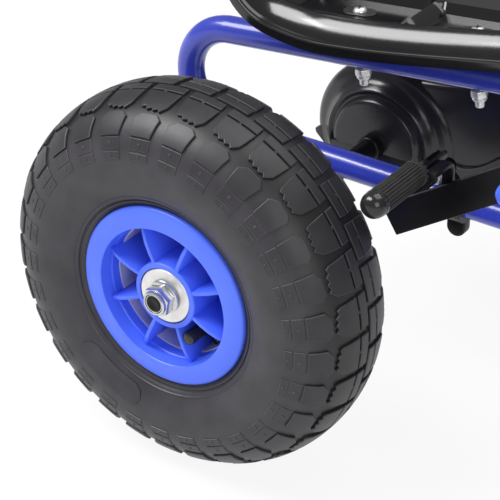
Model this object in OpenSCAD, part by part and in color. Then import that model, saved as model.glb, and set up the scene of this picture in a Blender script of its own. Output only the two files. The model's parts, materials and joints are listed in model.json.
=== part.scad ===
// Pedal go kart: tube frame, pneumatic wheels, chain drive, steering and a hand brake.
// Millimetres. +X forwards, +Y to the left, +Z up, ground at Z = 0.

/* [Overall] */
// Distance between the front and rear axles
wheelbase = 820; // [790:5:860]
// Reach of the bumper ahead of the front axle
front_reach = 190; // [180:5:220]
// Distance between the tyre centre planes of one axle
track = 478; // [470:2:500]

/* [Wheels] */
// Outer diameter of the tyre
tyre_d = 260; // [254:1:262]
// Width of the tyre over its sidewalls
tyre_w = 88; // [84:1:92]
// Thickness of the tyre's carcass
tyre_wall = 7; // [5:0.5:9]
// Outer diameter of the rim flange
rim_d = 123; // [120:1:126]
// Width of the rim over its flanges
rim_w = 72; // [68:1:76]
// Diameter of the tyre bead's seat on the rim
seat_d = 101.6; // [100:0.2:103]
// Thickness of the rim's walls and flanges
rim_wall = 3; // [2.5:0.1:3.5]
// Number of spokes in a rim
spokes = 8; // [6:1:10]
// Thickness of one spoke
spoke_t = 2.6; // [2:0.1:4]
// Outer diameter of the hub at its front
hub_d = 45; // [43:0.5:48]
// Depth of the hub behind the tyre's centre plane
hub_back = 30; // [28:0.5:32]
// Diameter of the axles
axle_d = 12; // [10:0.5:13]
// Reach of the axle end past the tyre's centre plane
axle_end = 45; // [44:0.5:48]
// Outer diameter of the wheel washer
washer_d = 37; // [34:0.5:38]
// Thickness of the wheel washer
washer_t = 3; // [2:0.2:3.4]
// Width of the wheel nut across its flats
nut_af = 18; // [17:0.5:20]
// Direction of the valve in the rim, from the forward spoke
valve_turn = -34; // [-34:0.5:-15]

/* [Frame] */
// Outer diameter of the frame tube
tube_d = 19; // [17:0.5:21]
// Wall of the frame tube
tube_wall = 1.6; // [1.2:0.1:2]
// Distance between the rails at the seat
rail_gap = 210; // [204:2:216]
// Height of the lower rail over the axle
rail_rise = 27; // [26:0.5:30]
// Height of the rear loop between its tube centres
loop_h = 73.5; // [70:0.5:78]
// Rise of the seat rail towards the front, in degrees
rail_slope = 5.65; // [4:0.05:7]
// Distance of the loop's bend centre behind the rear axle
loop_back = 65; // [60:1:70]
// Distance of the seat rail's upright ahead of the rear axle
upright_x = 196; // [190:1:202]
// Radius of the seat rail's front bend
upright_bend = 40; // [35:1:44]
// Distance between the rails at the crank
neck_gap = 100; // [96:1:104]
// Start of the rails' taper, ahead of the rear axle
taper_start = 250; // [240:2:262]
// End of the rails' taper, ahead of the rear axle
taper_end = 420; // [405:5:430]
// Outer diameter of the front beam
beam_d = 22; // [20:0.5:24]
// Distance between the bumper's legs
bumper_gap = 220; // [200:5:230]
// Radius of the bumper's bends
bumper_bend = 45; // [35:1:55]

/* [Drive] */
// Distance of the crank ahead of the rear axle
crank_x = 560; // [550:2:566]
// Height of the crank over the rear axle
crank_rise = 70; // [64:1:76]
// Length of a crank arm
crank_len = 105; // [95:1:108]
// Diameter of the crank spindle
spindle_d = 16; // [14:0.5:18]
// Teeth of the chainring
ring_teeth = 24; // [22:1:25]
// Teeth of the rear sprocket
cog_teeth = 16; // [14:1:17]
// Pitch of the chain
chain_pitch = 12.7; // [12.5:0.1:12.8]
// Width of the chain over its plates
chain_w = 8; // [7:0.5:9]
// Height of a chain plate
chain_h = 8; // [7:0.5:9]
// Sideways place of the chain
chain_y = 6; // [5:0.5:7]
// Width of the whole chain guard
guard_w = 40; // [38:1:42]
// Wall of the chain guard
guard_wall = 2.2; // [1.8:0.1:2.6]
// Radius of the guard's rear cover
guard_r = 57.5; // [56:0.5:59]
// Depth under the axle at which the guard's rear cover ends
guard_cut = 22; // [20:0.5:24]
// Outer diameter of the sleeve on the axle beside the guard
sleeve_d = 14; // [13.5:0.5:16]
// Length of a pedal along its spindle
pedal_l = 84; // [78:1:88]
// Width of a pedal along the foot
pedal_w = 66; // [58:1:72]
// Height of a pedal
pedal_h = 22; // [20:1:26]

/* [Steering] */
// Lean of the steering column from upright, in degrees
column_lean = 42; // [41:0.25:43]
// Diameter of the steering column
column_d = 20; // [18:0.5:21]
// Length of the column above its crank
column_len = 462; // [450:2:480]
// Throw of the crank at the column's foot
column_throw = 40; // [39:0.5:41]
// Outer diameter of the steering wheel
wheel_d = 270; // [250:2:290]
// Diameter of the steering wheel's grip
wheel_grip = 26; // [22:1:28]
// Distance of the king pins inside the tyre's centre plane
king_offset = 56; // [55:0.5:58]
// Diameter of a king pin
king_d = 10; // [9:0.5:11]
// Height of a knuckle's boss
knuckle_h = 50; // [48:1:52]
// Length of a knuckle's steering arm
arm_len = 65; // [64:0.5:66]
// Diameter of the track rod
rod_d = 10; // [9:0.5:12]
// Height of the track rod
rod_z = 105; // [104:0.5:106]

/* [Seat] */
// Width of the seat over its rim
seat_w = 304; // [296:2:308]
// Height of the seat floor over the rail
seat_lift = 19; // [17:0.5:22]
// Length of the seat's flat floor
floor_len = 196; // [190:2:204]
// Length of the seat's straight back
back_len = 215; // [190:5:230]
// Recline of the back from upright, in degrees
recline = 10; // [8:1:12]
// Wall of the seat shell
seat_wall = 4; // [3:0.25:4.5]
// Distance of the rear seat bolts ahead of the rear axle
bolt_x = 36; // [32:1:40]
// Distance between the front and rear seat bolts
bolt_pitch = 85; // [80:1:88]
// Diameter of the seat bolts
bolt_d = 6; // [5:0.5:6]

/* [Brake] */
// Distance of the brake pivot ahead of the rear axle
pivot_x = 100; // [98:0.5:102]
// Height of the brake pivot over the lower rail
pivot_rise = 19; // [18.5:0.5:21]
// Sideways place of the brake bar
bar_y = 162; // [161:0.5:164]
// Width of the brake bar
bar_w = 21; // [19:0.5:23]
// Thickness of the brake bar
bar_t = 5; // [4:0.5:6]
// Rise of the brake bar, in degrees
bar_rise = 32.5; // [31:0.5:33]
// Length of the brake bar
bar_len = 275; // [260:5:280]
// Outer diameter of the ribbed brake sleeve
pad_d = 17; // [15:0.5:17]
// Length of the ribbed brake sleeve
pad_len = 60; // [52:1:62]
// Place of the brake sleeve ahead of the pivot
pad_x = 26; // [26:0.5:28]
// Height of the brake sleeve over the pivot
pad_rise = 36; // [35.5:0.5:38]
// Outer diameter of the hand grip
grip_d = 28; // [25:0.5:30]
// Length of the hand grip
grip_len = 95; // [85:5:100]

/* [Fits] */
// Radial clearance of a running fit
running = 0.05; // [0.03:0.01:0.08]
// Gap between pieces that move past each other
gap = 0.4; // [0.3:0.05:0.6]

/* [Hidden] */
$fn = 48;
blue = "royalblue";
black = [0.12, 0.12, 0.13];
zinc = [0.8, 0.8, 0.82];
steel = [0.45, 0.45, 0.48];

axle_z = tyre_d / 2;
rear_x = (tyre_d / 2 - wheelbase - front_reach) / 2;
rail_y = rail_gap / 2;
rail_z = axle_z + rail_rise;
neck_y = neck_gap / 2;
loop_r = loop_h / (1 + cos(rail_slope));
loop_end_x = -loop_back - loop_r * sin(rail_slope);
upright_top = seat_rail_z(upright_x);
upright_tangent = upright_bend * tan((90 + rail_slope) / 2);
taper_turn = atan((rail_y - neck_y) / (taper_end - taper_start));
taper_bend = 80;
taper_tangent = taper_bend * tan(taper_turn / 2);
taper_run = norm([taper_end - taper_start, rail_y - neck_y]);
beam_z = rail_z - tube_d / 2 - beam_d / 2;
cross_z = upright_top - upright_tangent + 9.5;
function seat_rail_z(x) = rail_z + loop_h + (x - loop_end_x) * tan(rail_slope);

crank_z = axle_z + crank_rise;
function pitch_radius(teeth) = chain_pitch / 2 / sin(180 / teeth);
cog_r = pitch_radius(cog_teeth);
ring_r = pitch_radius(ring_teeth);
chain_span = norm([crank_x, crank_rise]);
chain_tilt = atan2(crank_rise, crank_x);
ring_cover = ring_r + chain_h / 2 + 9.4;
guard_out = chain_y - guard_w / 2;
arm_y = neck_y + tube_d / 2 + 2.5;
arm_t = 10;

king_y = track / 2 - king_offset;
rod_x = wheelbase - arm_len;
slot_back = 26;
crank_gap = 30;
column_up = [-sin(column_lean), 0, cos(column_lean)];
column_out = [cos(column_lean), 0, sin(column_lean)];
slot_at = [rod_x - slot_back, 0, rod_z];
column_foot_at = slot_at + crank_gap * column_up + column_throw * column_out;
bush_wall = 3;
housing_wall = 4;
housing_d = column_d + 2 * bush_wall + 2 * housing_wall;
bush_len = 36;
upper_bush = 230;
foot_t = 5;
lower_bush = (rail_z + tube_d / 2 + foot_t - column_foot_at[2]) / cos(column_lean) + 12;

// Lap of straights over bends, and how much slimmer a bend is
lap = 1;
seam = 0.05;
bearing_d = 26;
bracket_w = 12;
crank_boss = 20;
floor_z = seat_rail_z(0) + tube_d / 2 / cos(rail_slope) + seat_lift;
pivot_z = rail_z + pivot_rise;
pin_d = 8;

// Shared shapes

// Moves from the rear axle's frame to the part's own frame
module kart() translate([rear_x, 0, 0]) children();

// Turns a shape drawn in X and Y so that it stands in X and Z, its height towards the left
module upright_plane() rotate([90, 0, 0]) mirror([0, 0, 1]) children();

// A bar of length h along +Y from y0
module along_y(x, y0, z, h, d) translate([x, y0, z]) rotate([-90, 0, 0]) cylinder(h = h, d = d);

module tube_ring(d, slim = 0) {
    difference() {
        circle(d = d - 2 * slim);
        circle(d = d - 2 * tube_wall + 2 * slim);
    }
}

// Lays children along the line from p to q, with their +Z on that line
module on_line(p, q) {
    v = q - p;
    translate(p) rotate([0, acos(v[2] / norm(v)), atan2(v[1], v[0])]) children();
}

// A bent tube: each step is [straight length, turn, bend radius, roll of the turn].
// Bends are a hair slimmer than the straights that lap over them, so all join as one solid
module bent_tube(steps, d, i = 0) {
    s = steps[i];
    start = i > 0 ? lap : 0;
    translate([-start, 0, 0]) rotate([0, 90, 0]) linear_extrude(s[0] + start + (s[1] > 0 ? lap : 0))
        tube_ring(d);
    if (s[1] > 0) translate([s[0], 0, 0]) rotate([s[3], 0, 0]) {
        translate([0, s[2], 0]) rotate([0, 0, -90])
            rotate_extrude(angle = s[1]) translate([s[2], 0]) tube_ring(d, seam);
        translate([s[2] * sin(s[1]), s[2] * (1 - cos(s[1])), 0]) rotate([0, 0, s[1]]) rotate([-s[3], 0, 0])
            if (i + 1 < len(steps)) bent_tube(steps, d, i + 1);
    }
}

// A flat link in X and Y with round ends
module link(p, q, r1, r2) {
    v = q - p;
    turn = atan2(v[1], v[0]);
    open = acos((r1 - r2) / norm(v));
    translate(p) circle(r = r1);
    translate(q) circle(r = r2);
    polygon([for (e = [[p, r1, 1], [q, r2, 1], [q, r2, -1], [p, r1, -1]])
        e[0] + (e[1] - seam) * [cos(turn + e[2] * open), sin(turn + e[2] * open)]]);
}

module hex_nut(af, h, bore) {
    difference() {
        cylinder(h = h, d = af / cos(30), $fn = 6);
        translate([0, 0, -1]) cylinder(h = h + 2, d = bore);
    }
}

// Wheels: drawn about +Z, which points out of the kart
module wheel_place(x, side) {
    kart() translate([x, side * track / 2, axle_z]) rotate([-90 * side, 0, 0])
        mirror([0, side < 0 ? 0 : 1, 0]) children();
}

// Half of the tyre's section, from the crown to the rim
function tyre_half(w, top, foot, foot_w, belly, n = 12, bulge = 2.3) = concat(
    [for (i = [0 : n]) let (a = 90 - 90 * i / n)
        [belly + (top - belly) * pow(sin(a), 2 / bulge), w * pow(max(cos(a), 0), 2 / bulge)]],
    [for (i = [1 : 6]) let (q = i / 6) [belly - (belly - foot) * q, w - (w - foot_w) * q * q]]);

function flipped(p) = [for (i = [len(p) - 1 : -1 : 0]) [p[i][0], -p[i][1]]];
function reversed(p) = [for (i = [len(p) - 1 : -1 : 0]) p[i]];

module tyre() {
    bead_w = rim_w / 2 - rim_wall - 0.2;
    belly = rim_d / 2 + (tyre_d - rim_d) * 0.22;
    outer = tyre_half(tyre_w / 2, tyre_d / 2, rim_d / 2 + 1, bead_w, belly);
    inner = tyre_half(tyre_w / 2 - tyre_wall, tyre_d / 2 - tyre_wall - 2, rim_d / 2 - 2,
        bead_w - tyre_wall, belly);
    bead = [[seat_d / 2 + 0.2, bead_w], [seat_d / 2 + 0.2, bead_w - tyre_wall]];
    half = concat(outer, bead, reversed(inner));
    color(black) rotate_extrude($fn = 96) polygon(concat(half, flipped(half)));
}

module rim() {
    half_w = rim_w / 2;
    barrel = seat_d / 2;
    inner = barrel - rim_wall;
    flange_in = barrel - rim_wall - 0.4;
    front = half_w - 1;
    recess = front - washer_t - 0.4;
    hub_foot = 34;
    color(blue) difference() {
        union() {
            rotate_extrude() polygon([[inner, half_w], [rim_d / 2, half_w], [rim_d / 2, half_w - rim_wall],
                [barrel, half_w - rim_wall], [barrel, rim_wall - half_w], [rim_d / 2, rim_wall - half_w],
                [rim_d / 2, -half_w], [flange_in - 2, -half_w], [flange_in - 2, 0], [inner, 2]]);
            translate([0, 0, 4]) cylinder(h = front - 4, d = hub_d);
            translate([0, 0, -hub_back]) cylinder(h = hub_back + 5, d = hub_foot);
            for (i = [0 : spokes - 1]) rotate([90, 0, i * 360 / spokes])
                linear_extrude(spoke_t, center = true)
                    polygon([[hub_foot / 2 - 2, front - 2], [inner + 1, front - 2], [inner + 1, -8],
                        [hub_foot / 2 - 2, -14]]);
        }
        translate([0, 0, -hub_back - 1]) cylinder(h = rim_w + hub_back, d = axle_d + 2 * running);
        translate([0, 0, recess]) cylinder(h = washer_t + 3, d = washer_d + 0.8);
        rotate([0, 0, valve_turn]) translate([inner - 4, 0, 8]) rotate([0, 90, 0]) cylinder(h = 12, d = 9.2);
    }
}

// Rubber valve: a foot through the barrel and a stem that turns outwards
module valve() {
    inner = seat_d / 2 - rim_wall;
    color(black) rotate([0, 0, valve_turn]) {
        translate([inner - 12, 0, 8]) rotate([0, 90, 0]) cylinder(h = rim_wall + 12, d = 9);
        translate([inner - 12, 0, 4]) cylinder(h = rim_w / 2 - 6.5, d = 8);
    }
}

module washer() {
    color(zinc) translate([0, 0, rim_w / 2 - 1 - washer_t - 0.4]) difference() {
        cylinder(h = washer_t, d = washer_d);
        translate([0, 0, -1]) cylinder(h = washer_t + 2, d = axle_d + 2 * running);
    }
}

module wheel_nut() {
    color(zinc) translate([0, 0, rim_w / 2 - 1.4 + gap]) difference() {
        union() {
            cylinder(h = 2.4, d = nut_af + 5);
            cylinder(h = 6.4, d = nut_af / cos(30), $fn = 6);
            cylinder(h = 9, d = nut_af - 1);
        }
        translate([0, 0, -1]) cylinder(h = 12, d = axle_d);
    }
}

// Frame

// Right rail: one tube from the front, back along the floor, up the loop and forwards under the seat
module side_rail() {
    front = wheelbase + beam_d / 2;
    drop = upright_top - upright_tangent - rail_z;
    steps = [
        [front - taper_end - taper_tangent, taper_turn, taper_bend, 0],
        [taper_run - 2 * taper_tangent, taper_turn, taper_bend, 180],
        [taper_start + loop_back - taper_tangent, 180 - rail_slope, loop_r, 90],
        [(upright_x - loop_end_x) / cos(rail_slope) - upright_tangent, 90 + rail_slope, upright_bend, 90]];
    difference() {
        union() {
            translate([front, -neck_y, rail_z]) rotate([0, 0, 180]) bent_tube(steps, tube_d);
            difference() {
                translate([upright_x, -rail_y, rail_z]) linear_extrude(drop + lap) tube_ring(tube_d);
                translate([upright_x - tube_d, -rail_y, rail_z]) rotate([0, 90, 0])
                    cylinder(h = 2 * tube_d, d = tube_d - tube_wall);
            }
        }
        seat_bolt_places() translate([0, 0, -tube_d]) cylinder(h = 2 * tube_d, d = bolt_d + 0.4);
    }
}

// Bolt places on the right rail, +Z square to the rail
module seat_bolt_places() {
    for (x = [bolt_x, bolt_x + bolt_pitch])
        translate([x, -rail_y, seat_rail_z(x)]) rotate([0, -rail_slope, 0]) children();
}

module rail_right() color(blue) kart() side_rail();
module rail_left() color(blue) kart() mirror([0, 1, 0]) side_rail();

module both_sides() {
    children();
    mirror([0, 1, 0]) children();
}

module seat_cross_tube() {
    color(blue) kart() difference() {
        translate([upright_x, -rail_y, cross_z]) rotate([-90, 0, 0])
            linear_extrude(rail_gap) tube_ring(tube_d);
        for (s = [-1, 1]) translate([upright_x, s * rail_y, upright_top - upright_tangent]) {
            translate([0, 0, -tube_d]) cylinder(h = tube_d + lap, d = tube_d);
            translate([-upright_bend, 0, 0]) rotate([90, 0, 0]) rotate_extrude(angle = 90)
                translate([upright_bend, 0]) circle(d = tube_d - 2 * seam);
        }
    }
}

// One end of the front beam: a fork that holds the knuckle's boss
module beam_fork() {
    plate = 6;
    reach = 12;
    width = 26;
    inner = knuckle_h / 2 + gap;
    y0 = king_y - 30;
    difference() {
        translate([wheelbase - width / 2, -king_y - reach, beam_z - inner - plate])
            cube([width, king_y + reach - y0, 2 * (inner + plate)]);
        translate([wheelbase - width, -king_y - 2 * reach, beam_z - inner])
            cube([2 * width, king_y + 2 * reach - y0 - plate, 2 * inner]);
        translate([wheelbase, -king_y, 0]) cylinder(h = 2 * rail_z, d = king_d + 2 * running);
    }
}

module front_beam() {
    y0 = king_y - 30;
    color(blue) kart() union() {
        translate([wheelbase, -y0, beam_z]) rotate([-90, 0, 0]) linear_extrude(2 * y0) tube_ring(beam_d);
        both_sides() beam_fork();
    }
}

module bumper_bar(d) {
    leg_y = bumper_gap / 2;
    run = front_reach - tube_d / 2 - bumper_bend;
    translate([wheelbase, -leg_y, beam_z])
        bent_tube([[run, 90, bumper_bend, 0], [bumper_gap - 2 * bumper_bend, 90, bumper_bend, 0],
            [run, 0, 0, 0]], d);
}

module front_bumper() {
    color(blue) kart() difference() {
        bumper_bar(tube_d);
        translate([wheelbase, -track / 2, beam_z]) rotate([-90, 0, 0]) cylinder(h = track, d = beam_d);
    }
}

// Places children on the steering column's axis, +Z up the column and +X ahead of it
module on_column() kart() translate(column_foot_at) rotate([0, -column_lean, 0]) children();

module nose_tube() {
    front = [wheelbase + front_reach - tube_d / 2, 0, beam_z];
    top = column_foot_at + upper_bush * column_up;
    color(blue) difference() {
        union() {
            kart() on_line(front, top) linear_extrude(norm(top - front)) tube_ring(tube_d);
            on_column() translate([0, 0, upper_bush - bush_len / 2]) cylinder(h = bush_len, d = housing_d);
        }
        on_column() translate([0, 0, upper_bush - 3 * bush_len])
            cylinder(h = 6 * bush_len, d = column_d + 2 * bush_wall);
        kart() along_y(front[0], -bumper_gap / 2, beam_z, bumper_gap, tube_d);
    }
}

module column_foot() {
    plate_x = 80;
    color(blue) difference() {
        union() {
            kart() translate([column_foot_at[0] - plate_x + 20, -neck_y - 10, rail_z + tube_d / 2])
                cube([plate_x, neck_gap + 20, foot_t]);
            intersection() {
                on_column() translate([0, 0, lower_bush - bush_len])
                    cylinder(h = 1.5 * bush_len, d = housing_d);
                kart() translate([0, -neck_y, rail_z + tube_d / 2]) cube([wheelbase, neck_gap, 2 * bush_len]);
            }
        }
        on_column() cylinder(h = lower_bush + 2 * bush_len, d = column_d + 2 * bush_wall);
    }
}

module column_bush() {
    difference() {
        cylinder(h = bush_len, d = column_d + 2 * bush_wall);
        translate([0, 0, -1]) cylinder(h = bush_len + 2, d = column_d + 2 * running);
    }
}

module column_bushes() {
    color(black) on_column() for (z = [lower_bush, upper_bush])
        translate([0, 0, z - bush_len / 2]) column_bush();
}

module axle_brackets() {
    half_w = 18;
    color(blue) kart() both_sides() difference() {
        translate([0, -rail_y - bracket_w / 2, axle_z]) upright_plane() linear_extrude(bracket_w) {
            circle(r = half_w);
            translate([-half_w, 0]) square([2 * half_w, rail_rise]);
        }
        translate([-2 * half_w, -rail_y, rail_z]) rotate([0, 90, 0]) cylinder(h = 4 * half_w, d = tube_d);
        along_y(0, -rail_y - bracket_w, axle_z, 2 * bracket_w, bearing_d);
    }
}

module axle_bearings() {
    flange = 2;
    color(steel) kart() both_sides() difference() {
        union() {
            along_y(0, -rail_y - bracket_w / 2, axle_z, bracket_w, bearing_d);
            along_y(0, -rail_y - bracket_w / 2 - flange, axle_z, flange, bearing_d + 4);
        }
        along_y(0, -rail_y - bracket_w, axle_z, 2 * bracket_w, axle_d + 2 * running);
    }
}

// Crank bearing plates that stand on the rails
module crank_brackets() {
    boss_d = spindle_d + 18;
    plate_t = 6;
    color(blue) kart() both_sides() difference() {
        union() {
            along_y(crank_x, -neck_y - crank_boss / 2, crank_z, crank_boss, boss_d);
            translate([crank_x, -neck_y - plate_t / 2, rail_z]) upright_plane() linear_extrude(plate_t)
                polygon([[-36, 0], [36, 0], [boss_d / 2 - 2, crank_z - rail_z],
                    [2 - boss_d / 2, crank_z - rail_z]]);
        }
        along_y(crank_x, -neck_y - crank_boss, crank_z, 2 * crank_boss, spindle_d + 8);
        translate([0, -neck_y, rail_z]) rotate([0, 90, 0]) cylinder(h = wheelbase, d = tube_d);
    }
}

module crank_bushes() {
    color(black) kart() both_sides() difference() {
        along_y(crank_x, -neck_y - crank_boss / 2, crank_z, crank_boss, spindle_d + 8);
        along_y(crank_x, -neck_y - crank_boss, crank_z, 2 * crank_boss, spindle_d + 2 * running);
    }
}

// Rear axle

module rear_axle() {
    length = track + 2 * axle_end;
    color(zinc) kart() along_y(0, -length / 2, axle_z, length, axle_d);
}

module axle_sleeve() {
    from = bracket_w / 2 + 2 + gap - rail_y;
    color(black) kart() difference() {
        along_y(0, from, axle_z, chain_y - 1.5 - from, sleeve_d);
        along_y(0, from - 1, axle_z, rail_gap, axle_d);
    }
}

module wheel_spacers() {
    from = track / 2 - hub_back;
    to = rail_y + bracket_w / 2 + 2 + gap;
    color(black) kart() both_sides() difference() {
        along_y(0, -from, axle_z, from - to, sleeve_d);
        along_y(0, -from - 1, axle_z, from - to + 2, axle_d);
    }
}

// A toothed plate that stays inside the chain's band
module toothed(teeth, pitch_r) {
    tip = pitch_r - chain_h / 2 - gap;
    root = tip - 4;
    polygon([for (i = [0 : teeth - 1], k = [[0.1, 1], [0.35, 1], [0.55, 0], [0.9, 0]])
        (k[1] == 1 ? tip : root) * [cos((i + k[0]) * 360 / teeth), sin((i + k[0]) * 360 / teeth)]]);
}

module rear_sprocket() {
    plate_t = 3;
    hub_w = 16;
    color(steel) kart() difference() {
        union() {
            translate([0, chain_y - plate_t / 2, axle_z]) upright_plane() linear_extrude(plate_t)
                toothed(cog_teeth, cog_r);
            along_y(0, chain_y, axle_z, hub_w, axle_d + 16);
        }
        along_y(0, chain_y - guard_w, axle_z, 2 * guard_w, axle_d);
    }
}

// Steering

module knuckle() {
    boss_d = king_d + 14;
    arm_t = 6;
    arm_z = beam_z - knuckle_h / 2 + 2.5;
    collar = track / 2 - hub_back - gap;
    difference() {
        union() {
            translate([wheelbase, -king_y, beam_z - knuckle_h / 2]) cylinder(h = knuckle_h, d = boss_d);
            along_y(wheelbase, -track / 2 - axle_end, axle_z, track / 2 + axle_end - king_y, axle_d);
            along_y(wheelbase, -collar, axle_z, collar - king_y, axle_d + 7);
            translate([0, 0, arm_z]) linear_extrude(arm_t)
                link([rod_x, -king_y], [wheelbase, -king_y], 9, boss_d / 2);
            translate([rod_x, -king_y, rod_z - rod_d / 2 - 6])
                cylinder(h = arm_z - rod_z + rod_d / 2 + 7, d = pin_d);
        }
        translate([wheelbase, -king_y, 0]) cylinder(h = 2 * rail_z, d = king_d + 2 * running);
    }
}

module knuckle_right() color(steel) kart() knuckle();
module knuckle_left() color(steel) kart() mirror([0, 1, 0]) knuckle();

module king_pins() {
    reach = knuckle_h / 2 + gap + 6;
    color(zinc) kart() both_sides() translate([wheelbase, -king_y, beam_z]) {
        translate([0, 0, -reach - 8]) cylinder(h = 2 * reach + 8, d = king_d);
        translate([0, 0, reach]) cylinder(h = 6.4, d = 1.7 * king_d / cos(30), $fn = 6);
        translate([0, 0, -reach - 7]) hex_nut(1.7 * king_d, 7, king_d);
    }
}

module track_rod() {
    eye_d = pin_d + 10;
    eye_h = rod_d + 3;
    plate = [slot_back + 16, 28, 5];
    slot = [26, pin_d + 2];
    shift = 3.6;
    color(steel) kart() difference() {
        union() {
            along_y(rod_x, -king_y, rod_z, 2 * king_y, rod_d);
            for (s = [-1, 1]) translate([rod_x, s * king_y, rod_z - eye_h / 2])
                cylinder(h = eye_h, d = eye_d);
            translate([rod_x - plate[0], -plate[1] / 2, rod_z - plate[2] / 2]) cube(plate);
        }
        for (s = [-1, 1]) translate([rod_x, s * king_y, 0]) cylinder(h = 2 * rod_z, d = pin_d + 2 * running);
        translate([slot_at[0] + shift - slot[0] / 2, -slot[1] / 2, rod_z - 10]) cube([slot[0], slot[1], 20]);
    }
}

module steering_column() {
    crank_t = 6;
    crank_r = 11;
    color(black) on_column() {
        translate([0, 0, -crank_t / 2]) cylinder(h = column_len + crank_t / 2, d = column_d);
        translate([0, 0, -crank_t / 2]) linear_extrude(crank_t)
            link([-column_throw, 0], [0, 0], crank_r, crank_r + 2);
        translate([-column_throw, 0, -crank_gap - 10]) cylinder(h = crank_gap + 10, d = pin_d);
    }
}

module steering_wheel() {
    ring = wheel_d / 2 - wheel_grip / 2;
    hub = 62;
    hub_h = 24;
    dish = 14;
    spoke_w = 30;
    color(black) on_column() translate([0, 0, column_len - hub_h]) difference() {
        union() {
            translate([0, 0, dish]) rotate_extrude($fn = 96) translate([ring, 0]) circle(d = wheel_grip);
            cylinder(h = hub_h, d = hub);
            for (a = [90, 180, 270]) rotate([0, 0, a]) translate([hub / 2 - 6, -spoke_w / 2, dish - 5])
                cube([ring - hub / 2 + 6, spoke_w, 10]);
        }
        translate([0, 0, -1]) cylinder(h = hub_h + 2, d = column_d);
    }
}

module wheel_cap() {
    cap = 52;
    color(black) on_column() translate([0, 0, column_len]) rotate_extrude()
        polygon([[0, 0], [cap / 2, 0], [cap / 2, 3], [cap / 2 - 4, 7], [0, 9]]);
}

// Drive

module crank_arm(turn) {
    translate([crank_x, -arm_y - arm_t, crank_z]) rotate([0, turn, 0]) {
        upright_plane() linear_extrude(arm_t) link([0, 0], [crank_len, 0], spindle_d / 2 + 5, 10);
        translate([crank_len, arm_t / 2, 0]) rotate([90, 0, 0])
            cylinder(h = pedal_l + arm_t / 2 + 6, d = pin_d + 2);
    }
}

module crank() {
    color(zinc) kart() {
        along_y(crank_x, -arm_y - arm_t / 2, crank_z, 2 * arm_y + arm_t, spindle_d);
        crank_arm(0);
        mirror([0, 1, 0]) crank_arm(180);
    }
}

module chainring() {
    plate_t = 3;
    color(steel) kart() difference() {
        union() {
            translate([crank_x, chain_y - plate_t / 2, crank_z]) upright_plane()
                linear_extrude(plate_t) difference() {
                toothed(ring_teeth, ring_r);
                for (i = [0 : 4]) rotate(i * 72) translate([ring_r * 0.55, 0]) circle(r = 7);
            }
            along_y(crank_x, chain_y - 6, crank_z, 12, spindle_d + 14);
        }
        along_y(crank_x, chain_y - guard_w, crank_z, 2 * guard_w, spindle_d);
    }
}

// The belt around both sprockets, grown by g, in X and Z from the rear axle
module belt(g) rotate(chain_tilt) link([0, 0], [chain_span, 0], cog_r + g, ring_r + g);

module chain_arc(r, turn) {
    rotate_extrude(angle = turn) translate([r - chain_h / 2 + seam, seam])
        square([chain_h - 2 * seam, chain_w - 2 * seam]);
}

module chain() {
    lean = asin((ring_r - cog_r) / chain_span);
    run = chain_span * cos(lean);
    color(steel) kart() translate([0, chain_y - chain_w / 2, axle_z]) upright_plane() rotate(chain_tilt) {
        rotate(90 + lean) chain_arc(cog_r, 180 - 2 * lean);
        translate([chain_span, 0]) rotate(lean - 90) chain_arc(ring_r, 180 + 2 * lean);
        for (s = [0, 1]) mirror([0, s]) rotate(lean) translate([-lap, cog_r - chain_h / 2])
            cube([run + 2 * lap, chain_h, chain_w]);
    }
}

module pedal() {
    wall = 8;
    inset = arm_y + arm_t + 2;
    bore = pin_d + 2 + 2 * running;
    color(black) difference() {
        union() {
            along_y(0, -inset - pedal_l, 0, pedal_l, pedal_h - 2);
            difference() {
                translate([-pedal_w / 2, -inset - pedal_l, -pedal_h / 2]) cube([pedal_w, pedal_l, pedal_h]);
                for (s = [-1, 1])
                    translate([s * (pedal_w / 4 + 2) - (pedal_w / 4 - wall), -inset - pedal_l + wall, -pedal_h])
                    cube([pedal_w / 2 - 2 * wall, pedal_l - 2 * wall, 2 * pedal_h]);
            }
        }
        along_y(0, -inset - pedal_l - 1, 0, pedal_l + 2, bore);
    }
}

module pedal_right() kart() translate([crank_x + crank_len, 0, crank_z]) pedal();
module pedal_left() kart() translate([crank_x - crank_len, 0, crank_z]) mirror([0, 1, 0]) pedal();

// Guard outline, drawn in by g: rear cover, front cover and the tunnel over the upper run
module guard_outline(g) {
    up = 14;
    down = 24;
    difference() {
        circle(r = guard_r - g);
        translate([-guard_r, -2 * guard_r - guard_cut - g]) square(2 * guard_r);
    }
    rotate(chain_tilt) translate([chain_span, 0]) circle(r = ring_cover - g);
    open = acos((cog_r - ring_r) / chain_span);
    normal = [cos(chain_tilt + open), sin(chain_tilt + open)];
    far = [crank_x, crank_rise];
    polygon([cog_r * normal + (up - g) * normal, far + (ring_r + up - g) * normal,
        far + (ring_r - down + g) * normal, (cog_r - down + g) * normal]);
}

guard_bosses = [
    (guard_r - 6.5) * [cos(165), sin(165)],
    (guard_r - 6.5) * [cos(197), sin(197)],
    [crank_x, crank_rise] + (ring_cover - 5.2) * [cos(10), sin(10)],
    [crank_x, crank_rise] + (ring_cover - 5.2) * [cos(285), sin(285)]];

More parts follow.
